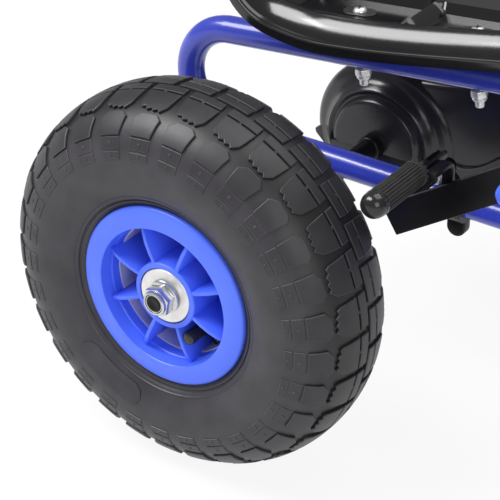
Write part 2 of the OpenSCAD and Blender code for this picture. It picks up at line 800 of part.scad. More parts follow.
// Right half of the guard in X, Y from the rear axle; Z = 0 is the outer face
module guard_half(hole_rear, hole_front) {
    depth = guard_w / 2;
    difference() {
        union() {
            difference() {
                linear_extrude(depth) guard_outline(0);
                translate([0, 0, guard_wall]) linear_extrude(depth) guard_outline(guard_wall);
            }
            for (p = guard_bosses) translate([p[0], p[1], 1]) cylinder(h = depth - 1, d = 6.4);
        }
        for (p = guard_bosses) translate([p[0], p[1], -1]) cylinder(h = depth + 2, d = 3.2);
        translate([0, 0, -1]) cylinder(h = depth + 2, d = hole_rear);
        translate([crank_x, crank_rise, -1]) cylinder(h = depth + 2, d = hole_front);
        translate([0, 0, depth - 8]) linear_extrude(10) difference() {
            belt(chain_h / 2 + 4);
            belt(-chain_h / 2 - 4);
            rotate(chain_tilt) translate([-chain_span, -4]) square([3 * chain_span, chain_span]);
        }
    }
}

// The right cover stands out round the axle
boss_r = 44;
boss_top = 34;
boss_rise = 14;
module guard_right() {
    hole = sleeve_d + 2 * gap + 1;
    skin = guard_wall - boss_rise;
    color(black) kart() translate([0, guard_out, axle_z]) upright_plane() {
        guard_half(2 * boss_r, spindle_d + 6);
        intersection() {
            rotate_extrude() polygon([[boss_r, 0], [boss_r, guard_wall], [boss_r - 2, guard_wall],
                [boss_top - 2, skin], [hole / 2, skin], [hole / 2, -boss_rise], [boss_top, -boss_rise]]);
            translate([-guard_r, -guard_cut, -guard_w]) cube(2 * guard_r);
        }
    }
}

module guard_left() {
    color(black) kart() translate([0, guard_out + guard_w, axle_z]) rotate([90, 0, 0])
        guard_half(axle_d + 22, spindle_d + 6);
}

module guard_screws() {
    color(zinc) kart() translate([0, guard_out + guard_w, axle_z]) rotate([90, 0, 0]) for (p = guard_bosses)
        translate([p[0], p[1], -2]) {
            cylinder(h = 2, d = 6);
            cylinder(h = guard_w - 4, d = 3);
        }
}

// Strap that hangs the guard from the seat cross tube
module guard_bracket() {
    width = 24;
    color(black) kart() difference() {
        translate([upright_x - width / 2, chain_y - 8, crank_z - 20])
            cube([width, 16, cross_z - crank_z + 20]);
        translate([0, chain_y - 10, axle_z]) upright_plane() linear_extrude(20) guard_outline(0);
        along_y(upright_x, -rail_y, cross_z, rail_gap, tube_d);
    }
}

// Seat: a shell whose sections run from the front lip along the floor and up the back

floor_front = 186;
lip_r = 46;
lip_turn = 50;
rear_r = 65;
rear_turn = 90 - recline + rail_slope;
// Path of the seat's centre line: [x, z, heading], heading 180 looks backwards
function seat_path() = let (
    f = [floor_front, floor_z + floor_front * tan(rail_slope)],
    down = [sin(rail_slope), -cos(rail_slope)],
    lip_c = f + lip_r * down,
    b = f - floor_len * [cos(rail_slope), sin(rail_slope)],
    rear_c = b - rear_r * down,
    turn = 180 + rail_slope,
    e = rear_c + rear_r * [cos(270 + rail_slope - rear_turn), sin(270 + rail_slope - rear_turn)],
    back = [-sin(recline), cos(recline)])
    concat(
        [for (i = [0 : 4]) let (a = 90 + rail_slope - lip_turn + lip_turn * i / 5)
            concat(lip_c + lip_r * [cos(a), sin(a)], [a + 90])],
        [for (i = [0 : 6]) concat(f + (b - f) * i / 6, [turn])],
        [for (i = [1 : 7]) let (a = 270 + rail_slope - rear_turn * i / 7)
            concat(rear_c + rear_r * [cos(a), sin(a)], [turn - rear_turn * i / 7])],
        [for (i = [1 : 7]) concat(e + back * back_len * i / 7, [turn - rear_turn])]);

// Half width inside the rim, rim height and rim drop at a share s of the path
function ease(s, a, b) = let (q = min(max((s - a) / (b - a), 0), 1)) q * q * (3 - 2 * q);
function seat_half(s) = seat_w / 2 - 14 - 14 * ease(s, 0.45, 0.62) - 30 * ease(s, 0.8, 1)
    - 10 * ease(0.12 - s, 0, 0.12);
function seat_side(s) = 12 + 14 * ease(0.3 - s, 0, 0.3) + 26 * ease(s, 0.36, 0.6) - 28 * ease(s, 0.72, 1);

// Section points from the middle to the rim's outer edge: [sideways, height over the path]
function seat_section(w, h, k) = let (r = h * 0.6, drop = 20, lip = 10, t = k * seat_wall) concat(
    [for (i = [0 : 3]) [(w - r) * i / 3, -t]],
    [for (i = [1 : 4]) let (a = 90 * i / 4) [w - r + (r + t) * sin(a), r - (r + t) * cos(a)]],
    [[w + t, h - (k > 0 ? 3 : 0)], [w + lip - t, h - (k > 0 ? seat_wall : 0)], [w + lip - t * 0.9, h - drop]]);

module seat_shell() {
    path = seat_path();
    n = len(path);
    ring = [for (i = [0 : n - 1]) let (
        s = i / (n - 1), p = path[i], up = [sin(p[2]), -cos(p[2])],
        top = seat_section(seat_half(s), seat_side(s), 0), low = seat_section(seat_half(s), seat_side(s), 1),
        m = len(top) - 1,
        half = concat([for (j = [m : -1 : 1]) [-top[j][0], top[j][1]]], top,
            [for (j = [m : -1 : 0]) low[j]], [for (j = [1 : m]) [-low[j][0], low[j][1]]]))
        [for (q = half) [p[0] + q[1] * up[0], q[0], p[1] + q[1] * up[1]]]];
    c = len(ring[0]);
    half = c / 2;
    points = [for (r = ring) for (p = r) p];
    faces = concat(
        [for (i = [0 : n - 2], j = [0 : c - 1]) let (k = (j + 1) % c) each [
            [(i + 1) * c + k, i * c + k, i * c + j], [(i + 1) * c + j, (i + 1) * c + k, i * c + j]]],
        [for (j = [0 : half - 2]) each [[c - 1 - j, j, j + 1], [c - 2 - j, c - 1 - j, j + 1]]],
        [for (j = [0 : half - 2]) let (o = (n - 1) * c)
            each [[o + c - 1 - j, o + j + 1, o + j], [o + c - 1 - j, o + c - 2 - j, o + j + 1]]]);
    polyhedron(points, faces);
}

module seat() {
    foot_d = 22;
    color(black) kart() difference() {
        union() {
            seat_shell();
            both_sides() seat_bolt_places() translate([0, 0, tube_d / 2 - 3])
                cylinder(h = seat_lift, d = foot_d);
        }
        both_sides() seat_bolt_places() {
            translate([-50, 0, 0]) rotate([0, 90, 0]) cylinder(h = 100, d = tube_d + 0.4);
            cylinder(h = 2 * tube_d + seat_lift, d = bolt_d + 0.6);
        }
    }
}

module seat_bolts() {
    top = tube_d / 2 + seat_lift + 0.4;
    below = tube_d / 2 + 12;
    color(zinc) kart() both_sides() seat_bolt_places() {
        translate([0, 0, -below]) cylinder(h = top + below, d = bolt_d);
        translate([0, 0, top]) cylinder(h = 4, d = 2 * bolt_d);
    }
}

module seat_nuts() {
    height = 6;
    color(zinc) kart() both_sides() seat_bolt_places() translate([0, 0, -tube_d / 2 - height])
        hex_nut(10, height, bolt_d);
}

// Brake

// Clamp ring on the lower rail with a pivot boss above and a lug below
module brake_bracket() {
    ring_d = tube_d + 8;
    ring_w = 14;
    ring_x = pivot_x + 6;
    boss_w = 14;
    lug_t = 8;
    lug_r = 6.75;
    boss_d = pin_d + 8;
    color(black) kart() difference() {
        union() {
            translate([ring_x, -rail_y, rail_z]) rotate([0, 90, 0]) cylinder(h = ring_w, d = ring_d);
            along_y(pivot_x, -rail_y - boss_w / 2, pivot_z, boss_w, boss_d);
            translate([0, -rail_y - lug_t / 2, 0]) upright_plane() linear_extrude(lug_t) {
                polygon([[pivot_x - 4, pivot_z], [pivot_x + 6, pivot_z + 4], [ring_x + ring_w - 2, rail_z],
                    [ring_x + 2, rail_z]]);
                translate([ring_x + ring_w / 2, rail_z - 18]) circle(r = lug_r);
                translate([ring_x + ring_w / 2 - lug_r, rail_z - 18]) square([2 * lug_r, 18]);
            }
        }
        translate([0, -rail_y, rail_z]) rotate([0, 90, 0]) cylinder(h = upright_x, d = tube_d);
        along_y(pivot_x, -rail_y - boss_w, pivot_z, 2 * boss_w, pin_d + 2 * running);
    }
}

// Places children at the brake pivot, X and Y standing in the plane of the bar
module on_pivot(y) kart() translate([pivot_x, -y, pivot_z]) upright_plane() children();

bar_start = [-4.5, -13.5];
bar_dir = [cos(bar_rise), sin(bar_rise)];
module brake_lever() {
    ear_r = 9;
    bush_from = rail_y + 16;
    color(black) union() {
        on_pivot(bar_y + bar_t / 2) linear_extrude(bar_t) {
            translate(bar_start) rotate(bar_rise) translate([0, -bar_w / 2]) square([bar_len, bar_w]);
            circle(r = ear_r);
        }
        on_pivot(bar_y - bar_t / 2 + 0.5) cylinder(h = bar_y - bar_t / 2 - rail_y + 17.5, d = pin_d);
        on_pivot(bar_y - bar_t / 2 + 0.5) cylinder(h = bar_y - bar_t / 2 - bush_from, d = pin_d + 6);
    }
}

// Strap on the inner face of the bar that carries the sleeve's rod
module brake_strap() {
    strap_t = 3.5;
    strap_w = 9;
    inner = bar_y - bar_t / 2;
    foot = 20;
    color(black) {
        on_pivot(inner) linear_extrude(strap_t) translate([pad_x - strap_w / 2, pad_rise - foot - strap_w / 2])
            square([strap_w, foot + strap_w]);
        on_pivot(inner + 18 + pad_len - 4) translate([pad_x, pad_rise])
            cylinder(h = 18 + pad_len - 4, d = strap_w - 1);
    }
}

module brake_sleeve() {
    inner = bar_y - bar_t / 2 + 18;
    ribs = 18;
    cap = 8;
    color(black) on_pivot(inner + pad_len) translate([pad_x, pad_rise]) difference() {
        union() {
            rotate_extrude() polygon([[0, 0], [pad_d / 2 - 3, 0.6], [pad_d / 2 - 0.8, 2.6], [pad_d / 2, 5],
                [pad_d / 2, cap], [pad_d / 2 - 0.8, cap], [pad_d / 2 - 0.8, pad_len], [0, pad_len]]);
            for (i = [0 : ribs - 1]) rotate([0, 0, i * 360 / ribs]) translate([pad_d / 2 - 2, -0.5, cap - 1])
                cube([1.8, 1, pad_len - cap]);
        }
        translate([0, 0, 4]) cylinder(h = pad_len, d = 8);
    }
}

module brake_nuts() {
    color(zinc) {
        on_pivot(rail_y + 14.5) hex_nut(13, 7, pin_d);
        on_pivot(rail_y - 7.5) hex_nut(13, 7, pin_d);
    }
}

// Round cap on the bar's outer face
module brake_cap() {
    place = 92;
    cap_d = 16;
    low = -3.5;
    spot = bar_start + place * bar_dir + low * [-bar_dir[1], bar_dir[0]];
    color(blue) on_pivot(bar_y + bar_t / 2) translate([spot[0], spot[1], -7]) rotate_extrude()
        polygon([[0, 0], [cap_d / 2 - 3, 0.4], [cap_d / 2 - 0.6, 2.4], [cap_d / 2, 5], [cap_d / 2, 7],
            [0, 7]]);
}

module hand_grip() {
    spot = bar_start + (bar_len - grip_len + 5) * bar_dir;
    color(black) difference() {
        on_pivot(bar_y) translate([spot[0], spot[1], 0]) rotate([0, 90, bar_rise]) rotate_extrude()
            polygon([[0, 0], [grip_d / 2, 0], [grip_d / 2, grip_len - 5], [grip_d / 2 - 4, grip_len],
                [0, grip_len]]);
        on_pivot(bar_y + bar_t / 2) linear_extrude(bar_t) translate(bar_start) rotate(bar_rise)
            translate([0, -bar_w / 2]) square([bar_len, bar_w]);
    }
}

// Wheel nodes
module rear_tyre_right() wheel_place(0, -1) tyre();
module rear_tyre_left() wheel_place(0, 1) tyre();
module rear_rim_right() wheel_place(0, -1) rim();
module rear_rim_left() wheel_place(0, 1) rim();
module front_tyre_right() wheel_place(wheelbase, -1) tyre();
module front_tyre_left() wheel_place(wheelbase, 1) tyre();
module front_rim_right() wheel_place(wheelbase, -1) rim();
module front_rim_left() wheel_place(wheelbase, 1) rim();
module rear_valves() for (s = [-1, 1]) wheel_place(0, s) valve();
module rear_washers() for (s = [-1, 1]) wheel_place(0, s) washer();
module rear_nuts() for (s = [-1, 1]) wheel_place(0, s) wheel_nut();
module front_valve_right() wheel_place(wheelbase, -1) valve();
module front_valve_left() wheel_place(wheelbase, 1) valve();
module front_washer_right() wheel_place(wheelbase, -1) washer();
module front_washer_left() wheel_place(wheelbase, 1) washer();
module front_nut_right() wheel_place(wheelbase, -1) wheel_nut();
module front_nut_left() wheel_place(wheelbase, 1) wheel_nut();

rail_right();
rail_left();
seat_cross_tube();
front_beam();
front_bumper();
nose_tube();
column_foot();
column_bushes();
axle_brackets();
axle_bearings();
crank_brackets();
crank_bushes();
rear_axle();
axle_sleeve();
wheel_spacers();
rear_sprocket();
rear_tyre_right();
rear_tyre_left();
rear_rim_right();
rear_rim_left();
rear_valves();
rear_washers();
rear_nuts();
front_tyre_right();
front_tyre_left();
front_rim_right();
front_rim_left();
front_valve_right();
front_valve_left();
front_washer_right();
front_washer_left();
front_nut_right();
front_nut_left();
knuckle_right();
knuckle_left();
king_pins();
track_rod();
steering_column();
steering_wheel();
wheel_cap();
crank();
chainring();
chain();
pedal_right();
pedal_left();
guard_right();
guard_left();
guard_screws();
guard_bracket();
seat();
seat_bolts();
seat_nuts();
brake_bracket();
brake_lever();
brake_strap();
brake_sleeve();
brake_nuts();
brake_cap();
hand_grip();
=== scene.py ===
import bisect
import json
import math
import bpy
import bmesh
from mathutils import Matrix, Vector

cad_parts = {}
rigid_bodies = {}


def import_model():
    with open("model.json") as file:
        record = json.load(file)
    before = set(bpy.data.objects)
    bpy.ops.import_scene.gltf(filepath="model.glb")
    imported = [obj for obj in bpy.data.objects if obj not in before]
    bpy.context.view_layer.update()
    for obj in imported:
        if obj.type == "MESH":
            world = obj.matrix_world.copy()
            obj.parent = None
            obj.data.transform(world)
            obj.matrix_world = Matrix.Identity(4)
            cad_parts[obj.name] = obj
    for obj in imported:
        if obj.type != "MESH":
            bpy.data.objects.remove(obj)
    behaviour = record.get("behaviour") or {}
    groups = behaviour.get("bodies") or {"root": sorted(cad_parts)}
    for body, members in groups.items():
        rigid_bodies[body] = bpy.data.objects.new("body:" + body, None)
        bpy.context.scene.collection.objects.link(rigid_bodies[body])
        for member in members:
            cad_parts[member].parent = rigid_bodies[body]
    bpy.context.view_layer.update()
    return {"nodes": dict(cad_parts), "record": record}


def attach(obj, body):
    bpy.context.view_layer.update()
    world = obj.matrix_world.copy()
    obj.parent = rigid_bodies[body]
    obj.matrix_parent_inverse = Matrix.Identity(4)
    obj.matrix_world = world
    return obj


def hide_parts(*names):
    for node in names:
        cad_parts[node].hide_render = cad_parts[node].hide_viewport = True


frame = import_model()
mm = 0.001
rearX = -0.440          # rear axle in the part's frame
axleZ = 0.130
print("frame loaded:", len(frame["nodes"]), "nodes")

# camera, floor and light

view = dict(place=(0.20706, -1.10619, 0.79164), tilt=59.197, turn=34.94, lens=144, sensor=36, near=0.05)


def addCamera():
    bpy.ops.object.select_all(action="DESELECT")
    turn = (math.radians(view["tilt"]), 0, math.radians(view["turn"]))
    bpy.ops.object.camera_add(location=view["place"], rotation=turn)
    cam = bpy.context.object
    cam.data.lens = view["lens"]
    cam.data.sensor_width = view["sensor"]
    cam.data.clip_start = view["near"]
    bpy.context.scene.camera = cam


def setInputs(node, values):
    for key, value in values.items():
        node.inputs[key].default_value = value


floorLook = dict(size=14, drop=0.0005, colour=(0.93, 0.93, 0.935), glow=0.9, rough=0.9, specular=0.1)


def eyeRays(nodes, links, second):
    # 1 for what the camera sees and for a second kind of ray
    path = nodes.new("ShaderNodeLightPath")
    eye = nodes.new("ShaderNodeMath")
    eye.operation = "MAXIMUM"
    links.new(path.outputs["Is Camera Ray"], eye.inputs[0])
    links.new(path.outputs[second], eye.inputs[1])
    return eye.outputs[0]


def addFloor():
    bpy.ops.object.select_all(action="DESELECT")
    bpy.ops.mesh.primitive_plane_add(size=floorLook["size"], location=(0, 0, -floorLook["drop"]))
    floor = bpy.context.object
    floor.name = "studioFloor"
    mat = bpy.data.materials.new("floorCard")
    mat.use_nodes = True
    nodes, links = mat.node_tree.nodes, mat.node_tree.links
    shader = nodes["Principled BSDF"]
    setInputs(shader, {"Base Color": (*floorLook["colour"], 1), "Roughness": floorLook["rough"],
                       "Specular IOR Level": floorLook["specular"]})
    glow = nodes.new("ShaderNodeEmission")
    share = nodes.new("ShaderNodeMath")
    share.operation = "MULTIPLY"
    share.inputs[1].default_value = floorLook["glow"]
    links.new(eyeRays(nodes, links, "Is Glossy Ray"), share.inputs[0])
    mix = nodes.new("ShaderNodeMixShader")
    links.new(share.outputs[0], mix.inputs[0])
    links.new(shader.outputs[0], mix.inputs[1])
    links.new(glow.outputs[0], mix.inputs[2])
    links.new(mix.outputs[0], nodes["Material Output"].inputs["Surface"])
    floor.data.materials.append(mat)


lamps = [
    dict(name="keySoftbox", place=(-1.3, -1.2, 2.3), aim=(-0.35, -0.1, 0.2), size=1.0, power=36),
    dict(name="sideSoftbox", place=(-2.05, -0.95, 2.05), aim=(-0.35, -0.1, 0.25), size=1.0, power=34),
    dict(name="fillSoftbox", place=(1.9, -1.9, 1.6), aim=(-0.2, -0.1, 0.2), size=1.8, power=30),
    dict(name="topSoftbox", place=(0.1, 0.7, 2.6), aim=(-0.1, 0, 0.2), size=2.0, power=34),
]
worldLook = dict(ambient=0.3, seen=1.0)


def addLights():
    for lamp in lamps:
        bpy.ops.object.select_all(action="DESELECT")
        bpy.ops.object.light_add(type="AREA", location=lamp["place"])
        light = bpy.context.object
        light.name = lamp["name"]
        light.data.size = lamp["size"]
        light.data.energy = lamp["power"]
        aim = Vector(lamp["aim"]) - Vector(lamp["place"])
        light.rotation_euler = aim.to_track_quat("-Z", "Y").to_euler()
    world = bpy.data.worlds.new("studioWorld")
    bpy.context.scene.world = world
    world.use_nodes = True
    nodes, links = world.node_tree.nodes, world.node_tree.links
    back = nodes["Background"]
    back.inputs["Color"].default_value = (1, 1, 1, 1)
    level = nodes.new("ShaderNodeMapRange")
    setInputs(level, {"To Min": worldLook["ambient"], "To Max": worldLook["seen"]})
    links.new(eyeRays(nodes, links, "Is Transmission Ray"), level.inputs["Value"])
    links.new(level.outputs["Result"], back.inputs["Strength"])
    bpy.context.scene.view_settings.view_transform = "Standard"


addCamera()
addFloor()
addLights()
print("camera, floor and light set")

# finishes

tintSpan = (0.3, 0.7)
bumpDepth = 0.0002


def addNoise(nodes, links, where, scale, detail):
    noise = nodes.new("ShaderNodeTexNoise")
    setInputs(noise, {"Scale": scale, "Detail": detail})
    links.new(where, noise.inputs["Vector"])
    return noise.outputs["Fac"]


def addRamp(nodes, links, share, stops):
    ramp = nodes.new("ShaderNodeValToRGB")
    for k in range(len(stops) - 2):
        ramp.color_ramp.elements.new(0.5)
    for stop, (place, tone) in zip(ramp.color_ramp.elements, stops):
        stop.position = place
        stop.color = (*tone, 1)
    links.new(share, ramp.inputs["Fac"])
    return ramp.outputs["Color"]


def newFinish(name, look):
    mat = bpy.data.materials.new(name)
    mat.use_nodes = True
    nodes, links = mat.node_tree.nodes, mat.node_tree.links
    shader = nodes["Principled BSDF"]
    setInputs(shader, {"Metallic": look.get("metal", 0), "Specular IOR Level": look.get("specular", 0.5),
                       "Coat Weight": look.get("coat", 0), "Coat Roughness": look.get("coatRough", 0.1)})
    where = nodes.new("ShaderNodeTexCoord").outputs["Object"]

    # slow drift of colour
    cloud = addNoise(nodes, links, where, look["cloud"], 4)
    colour = addRamp(nodes, links, cloud, list(zip(tintSpan, (look["dark"], look["light"]))))
    if "tone" in look:
        # colours along the piece's own attribute, the drift laid over them
        share = nodes.new("ShaderNodeAttribute")
        share.attribute_name = look["tone"]
        blend = nodes.new("ShaderNodeMixRGB")
        blend.blend_type = "MULTIPLY"
        blend.inputs["Fac"].default_value = 1
        links.new(addRamp(nodes, links, share.outputs["Fac"], look["tones"]), blend.inputs["Color1"])
        links.new(colour, blend.inputs["Color2"])
        colour = blend.outputs["Color"]
    links.new(colour, shader.inputs["Base Color"])

    # fine grain: roughness and bump
    grain = addNoise(nodes, links, where, look["grain"], 6)
    rough = nodes.new("ShaderNodeMapRange")
    setInputs(rough, {"To Min": look["rough"][0], "To Max": look["rough"][1]})
    links.new(grain, rough.inputs["Value"])
    links.new(rough.outputs["Result"], shader.inputs["Roughness"])
    bump = nodes.new("ShaderNodeBump")
    setInputs(bump, {"Strength": look["bump"], "Distance": bumpDepth})
    links.new(grain, bump.inputs["Height"])
    links.new(bump.outputs["Normal"], shader.inputs["Normal"])
    return mat


finishes = dict(
    tubePaint=dict(dark=(0.027, 0.042, 0.40), light=(0.034, 0.053, 0.46), cloud=14, grain=2400,
                   rough=(0.24, 0.30), bump=0.01, coat=0.4, coatRough=0.12),
    rimPlastic=dict(dark=(0.066, 0.142, 0.86), light=(0.082, 0.168, 0.93), cloud=22, grain=900,
                    rough=(0.28, 0.42), bump=0.08, specular=0.45),
    # the tyre's tones run along its painted-light attribute: light for the painted highlight on lug edges,
    # dark for the painted shade at lug feet and in the crown grooves
    tyreRubber=dict(dark=(0.74, 0.73, 0.76), light=(1.22, 1.20, 1.24), cloud=60, grain=1500,
                    rough=(0.34, 0.54), bump=0.3, tone="treadPaintedLight",
                    tones=((0, (0.10, 0.094, 0.098)), (0.35, (0.031, 0.0292, 0.034)),
                           (1, (0.0100, 0.0090, 0.0098)))),
    softRubber=dict(dark=(0.017, 0.016, 0.015), light=(0.028, 0.026, 0.025), cloud=90, grain=2200,
                    rough=(0.42, 0.6), bump=0.2),
    glossRubber=dict(dark=(0.013, 0.012, 0.013), light=(0.020, 0.019, 0.020), cloud=90, grain=1600,
                     rough=(0.12, 0.2), bump=0.05),
    seatPlastic=dict(dark=(0.006, 0.006, 0.007), light=(0.009, 0.009, 0.010), cloud=16, grain=700,
                     rough=(0.1, 0.18), bump=0.05, specular=0.62),
    guardPlastic=dict(dark=(0.014, 0.013, 0.016), light=(0.020, 0.019, 0.023), cloud=30, grain=1600,
                      rough=(0.17, 0.27), bump=0.08),
    nylon=dict(dark=(0.018, 0.018, 0.019), light=(0.026, 0.026, 0.027), cloud=60, grain=1200,
               rough=(0.4, 0.55), bump=0.15),
    leverPaint=dict(dark=(0.004, 0.004, 0.005), light=(0.007, 0.007, 0.008), cloud=50, grain=900,
                    rough=(0.3, 0.45), bump=0.12, specular=0.26),
    zincPlate=dict(dark=(0.74, 0.73, 0.71), light=(0.86, 0.85, 0.83), cloud=160, grain=1400,
                   rough=(0.26, 0.4), bump=0.04, metal=0.75),
    nutZinc=dict(dark=(0.60, 0.61, 0.61), light=(0.72, 0.73, 0.72), cloud=160, grain=1400,
                 rough=(0.16, 0.24), bump=0.03, metal=0.9),
    # pale band inside the rim: painted light standing in for the light seen through the rim's open back
    paleBackLight=dict(dark=(0.50, 0.50, 0.62), light=(0.60, 0.60, 0.70), cloud=70, grain=900,
                   rough=(0.22, 0.34), bump=0.06),
    chainSteel=dict(dark=(0.20, 0.19, 0.18), light=(0.33, 0.32, 0.31), cloud=120, grain=1200,
                    rough=(0.28, 0.45), bump=0.15, metal=1),
)
finish = {name: newFinish(name, look) for name, look in finishes.items()}
slotFinish = dict(blue_paint="tubePaint", blue_plastic="rimPlastic", tyre="tyreRubber", rubber="softRubber",
                  zinc="zincPlate", steel="chainSteel", black_paint="leverPaint", black_plastic="seatPlastic",
                  dark_plastic="nylon")


def dressNodes():
    for part in frame["record"]["subparts"]:
        node = bpy.data.objects[part["node"]]
        node.data.materials.clear()
        node.data.materials.append(finish[slotFinish[part["material_slot"]]])


dressNodes()
print("CAD nodes dressed")

# modelling helpers

weld = 0.00001


def pick(piece):
    bpy.ops.object.select_all(action="DESELECT")
    piece.select_set(True)
    bpy.context.view_layer.objects.active = piece


def editAll(piece):
    pick(piece)
    bpy.ops.object.mode_set(mode="EDIT")
    bpy.ops.mesh.select_all(action="SELECT")


def endEdit():
    bpy.ops.object.mode_set(mode="OBJECT")


def faceOut(piece):
    editAll(piece)
    bpy.ops.mesh.normals_make_consistent(inside=False)
    endEdit()


def ray(angle):
    # outwards and across, in the plane of X and Z
    c, s = math.cos(angle), math.sin(angle)
    return Vector((c, 0, s)), Vector((-s, 0, c))


def drawOutline(name, points, close=False):
    # a vertex is pulled out along the points, as when tracing a section
    bpy.ops.object.select_all(action="DESELECT")
    bpy.ops.mesh.primitive_plane_add(size=0.001)
    piece = bpy.context.object
    piece.name = name
    editAll(piece)
    bpy.ops.mesh.merge(type="CENTER")
    bpy.ops.transform.translate(value=points[0])
    for a, b in zip(points, points[1:]):
        bpy.ops.mesh.extrude_vertices_move(TRANSFORM_OT_translate={"value": Vector(b) - Vector(a)})
    if close:
        cage = bmesh.from_edit_mesh(piece.data)
        cage.verts.ensure_lookup_table()
        for v in cage.verts:
            v.select = v.index in (0, len(points) - 1)
        cage.select_flush_mode()
        bmesh.update_edit_mesh(piece.data)
        bpy.ops.mesh.edge_face_add()
    bpy.ops.mesh.select_all(action="SELECT")
    return piece


def lathe(name, section, centre, steps, close=False, axis=(0, 1, 0), unit=1):
    # section holds (radius, height along the axis), the axis being Y or Z
    out, up = Vector((1, 0, 0)), Vector(axis)
    points = [Vector(centre) + out * (r * unit) + up * (h * unit) for r, h in section]
    piece = drawOutline(name, points, close)
    bpy.ops.mesh.spin(steps=steps, angle=math.tau, center=centre, axis=axis)
    bpy.ops.mesh.select_all(action="SELECT")
    bpy.ops.mesh.remove_doubles(threshold=weld)
    bpy.ops.mesh.normals_make_consistent(inside=False)
    endEdit()
    return piece


def plate(name, outline, thick):
    # a flat outline filled and pulled out by the vector thick
    piece = drawOutline(name, outline)
    bpy.ops.mesh.edge_face_add()
    bpy.ops.mesh.select_all(action="SELECT")
    bpy.ops.mesh.extrude_region_move(TRANSFORM_OT_translate={"value": thick})
    endEdit()
    faceOut(piece)
    return piece


def useModifier(piece, kind, **settings):
    pick(piece)
    mod = piece.modifiers.new(kind.title(), kind)
    for key, value in settings.items():
        setattr(mod, key, value)
    bpy.ops.object.modifier_apply(modifier=mod.name)


def softEdges(piece, width, segments=2, angle=35):
    useModifier(piece, "BEVEL", width=width, segments=segments, limit_method="ANGLE",
                angle_limit=math.radians(angle), harden_normals=False)


def joinPieces(pieces, name):
    bpy.ops.object.select_all(action="DESELECT")
    for p in pieces:
        p.select_set(True)
    bpy.context.view_layer.objects.active = pieces[0]
    bpy.ops.object.join()
    pieces[0].name = name
    return pieces[0]


def copyPiece(piece, name, move, turn=0, flipY=False):
    pick(piece)
    bpy.ops.object.duplicate(linked=False)
    twin = bpy.context.object
    twin.name = name
    flip = Matrix.Diagonal((1, -1 if flipY else 1, 1, 1))
    twin.matrix_world = Matrix.Translation(move) @ Matrix.Rotation(turn, 4, "Y") @ flip
    bpy.ops.object.transform_apply()
    if flipY:
        faceOut(twin)
    return twin


def applyPlace(piece, matrix):
    piece.matrix_world = matrix
    pick(piece)
    bpy.ops.object.transform_apply()


def hexagon(flats, depth, bevel, place, turn=(0, 0, 0)):
    # nut body in millimetres, along Z before its turn
    bpy.ops.object.select_all(action="DESELECT")
    radius = flats * mm / 2 / math.cos(math.pi / 6)
    bpy.ops.mesh.primitive_cylinder_add(vertices=6, radius=radius, depth=depth * mm, location=place,
                                        rotation=turn)
    piece = bpy.context.object
    bpy.ops.object.transform_apply()
    softEdges(piece, bevel * mm, 2, 40)
    return piece


def dress(piece, look, body, nodes, angle=32):
    pick(piece)
    bpy.ops.object.shade_smooth_by_angle(angle=math.radians(angle))
    piece.data.materials.clear()
    piece.data.materials.append(finish[look])
    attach(piece, body)
    if nodes:
        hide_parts(*nodes)
    return piece


# wheels: all are made at the rear right and copied

wheelHalf = 0.239
wheelBase = 0.820
hubAt = Vector((rearX, -wheelHalf, axleZ))
wheelSpots = [
    dict(end="rear", side="right", body="rear_axle", move=(0, 0, 0), flip=False),
    dict(end="rear", side="left", body="rear_axle", move=(0, 0, 0), flip=True),
    dict(end="front", side="right", body="front_wheel_right", move=(wheelBase, 0, 0), flip=False),
    dict(end="front", side="left", body="front_wheel_left", move=(wheelBase, 0, 0), flip=True),
]

tyreCut = dict(crown=0.1273, halfWidth=0.0432, belly=0.0900, bulge=2.2, foot=0.0625, footHalf=0.0326,
               footEase=0.001, pitches=29, firstPitch=9.26, sink=0.0004, blockRise=0.0024,
               shoulderRise=0.0021, padRise=0.0011, dotRise=0.0005, panelRise=0.00096)


def tyreWall(r):
    t = tyreCut
    q = (t["belly"] - r) / (t["belly"] - t["foot"])
    return t["halfWidth"] - (t["halfWidth"] - t["footHalf"] - t["footEase"]) * q * q


def tyreSide(steps=26):
    # half section from the crown to the rim: (radius, outwards)
    t = tyreCut
    half = []
    for i in range(steps + 1):
        a = math.pi / 2 * (1 - i / steps)
        half.append((t["belly"] + (t["crown"] - t["belly"]) * math.sin(a) ** (2 / t["bulge"]),
                     t["halfWidth"] * max(math.cos(a), 0) ** (2 / t["bulge"])))
    half += [(r, tyreWall(r)) for r in (0.0868, 0.0836, 0.0806, 0.0780, 0.0756, 0.0734, 0.0714)]
    # fine ring, then the groove round the bead
    for r, lift in ((0.0700, 0), (0.0696, 0.0004), (0.0690, 0.0004), (0.0686, 0), (0.0672, 0),
                    (0.0668, -0.0002), (0.0664, -0.0011), (0.0658, -0.0011), (0.0654, -0.0003), (0.0650, 0),
                    (0.0632, 0)):
        half.append((r, tyreWall(r) + lift))
    half += [(t["foot"] - 0.0004, t["footHalf"] + 0.0006), (t["foot"] - 0.0014, t["footHalf"] + 0.0002),
             (t["foot"] - 0.004, t["footHalf"])]
    return half


tyreLine = tyreSide(120)
tyreRun = [0.0]
for a, b in zip(tyreLine, tyreLine[1:]):
    tyreRun.append(tyreRun[-1] + math.dist(a, b))


def onTyre(across, angle, rise):
    # a place on the casing: across runs from the crown, positive outwards
    s = abs(across)
    i = min(bisect.bisect_right(tyreRun, s), len(tyreRun) - 1) - 1
    q = (s - tyreRun[i]) / (tyreRun[i + 1] - tyreRun[i])
    (r0, w0), (r1, w1) = tyreLine[i], tyreLine[i + 1]
    r, w = r0 + (r1 - r0) * q, w0 + (w1 - w0) * q
    n = math.hypot(r1 - r0, w1 - w0)
    r += (w1 - w0) / n * rise
    w += (r0 - r1) / n * rise
    side = 1 if across >= 0 else -1
    return hubAt + Vector((r * math.cos(angle), -side * w, r * math.sin(angle)))


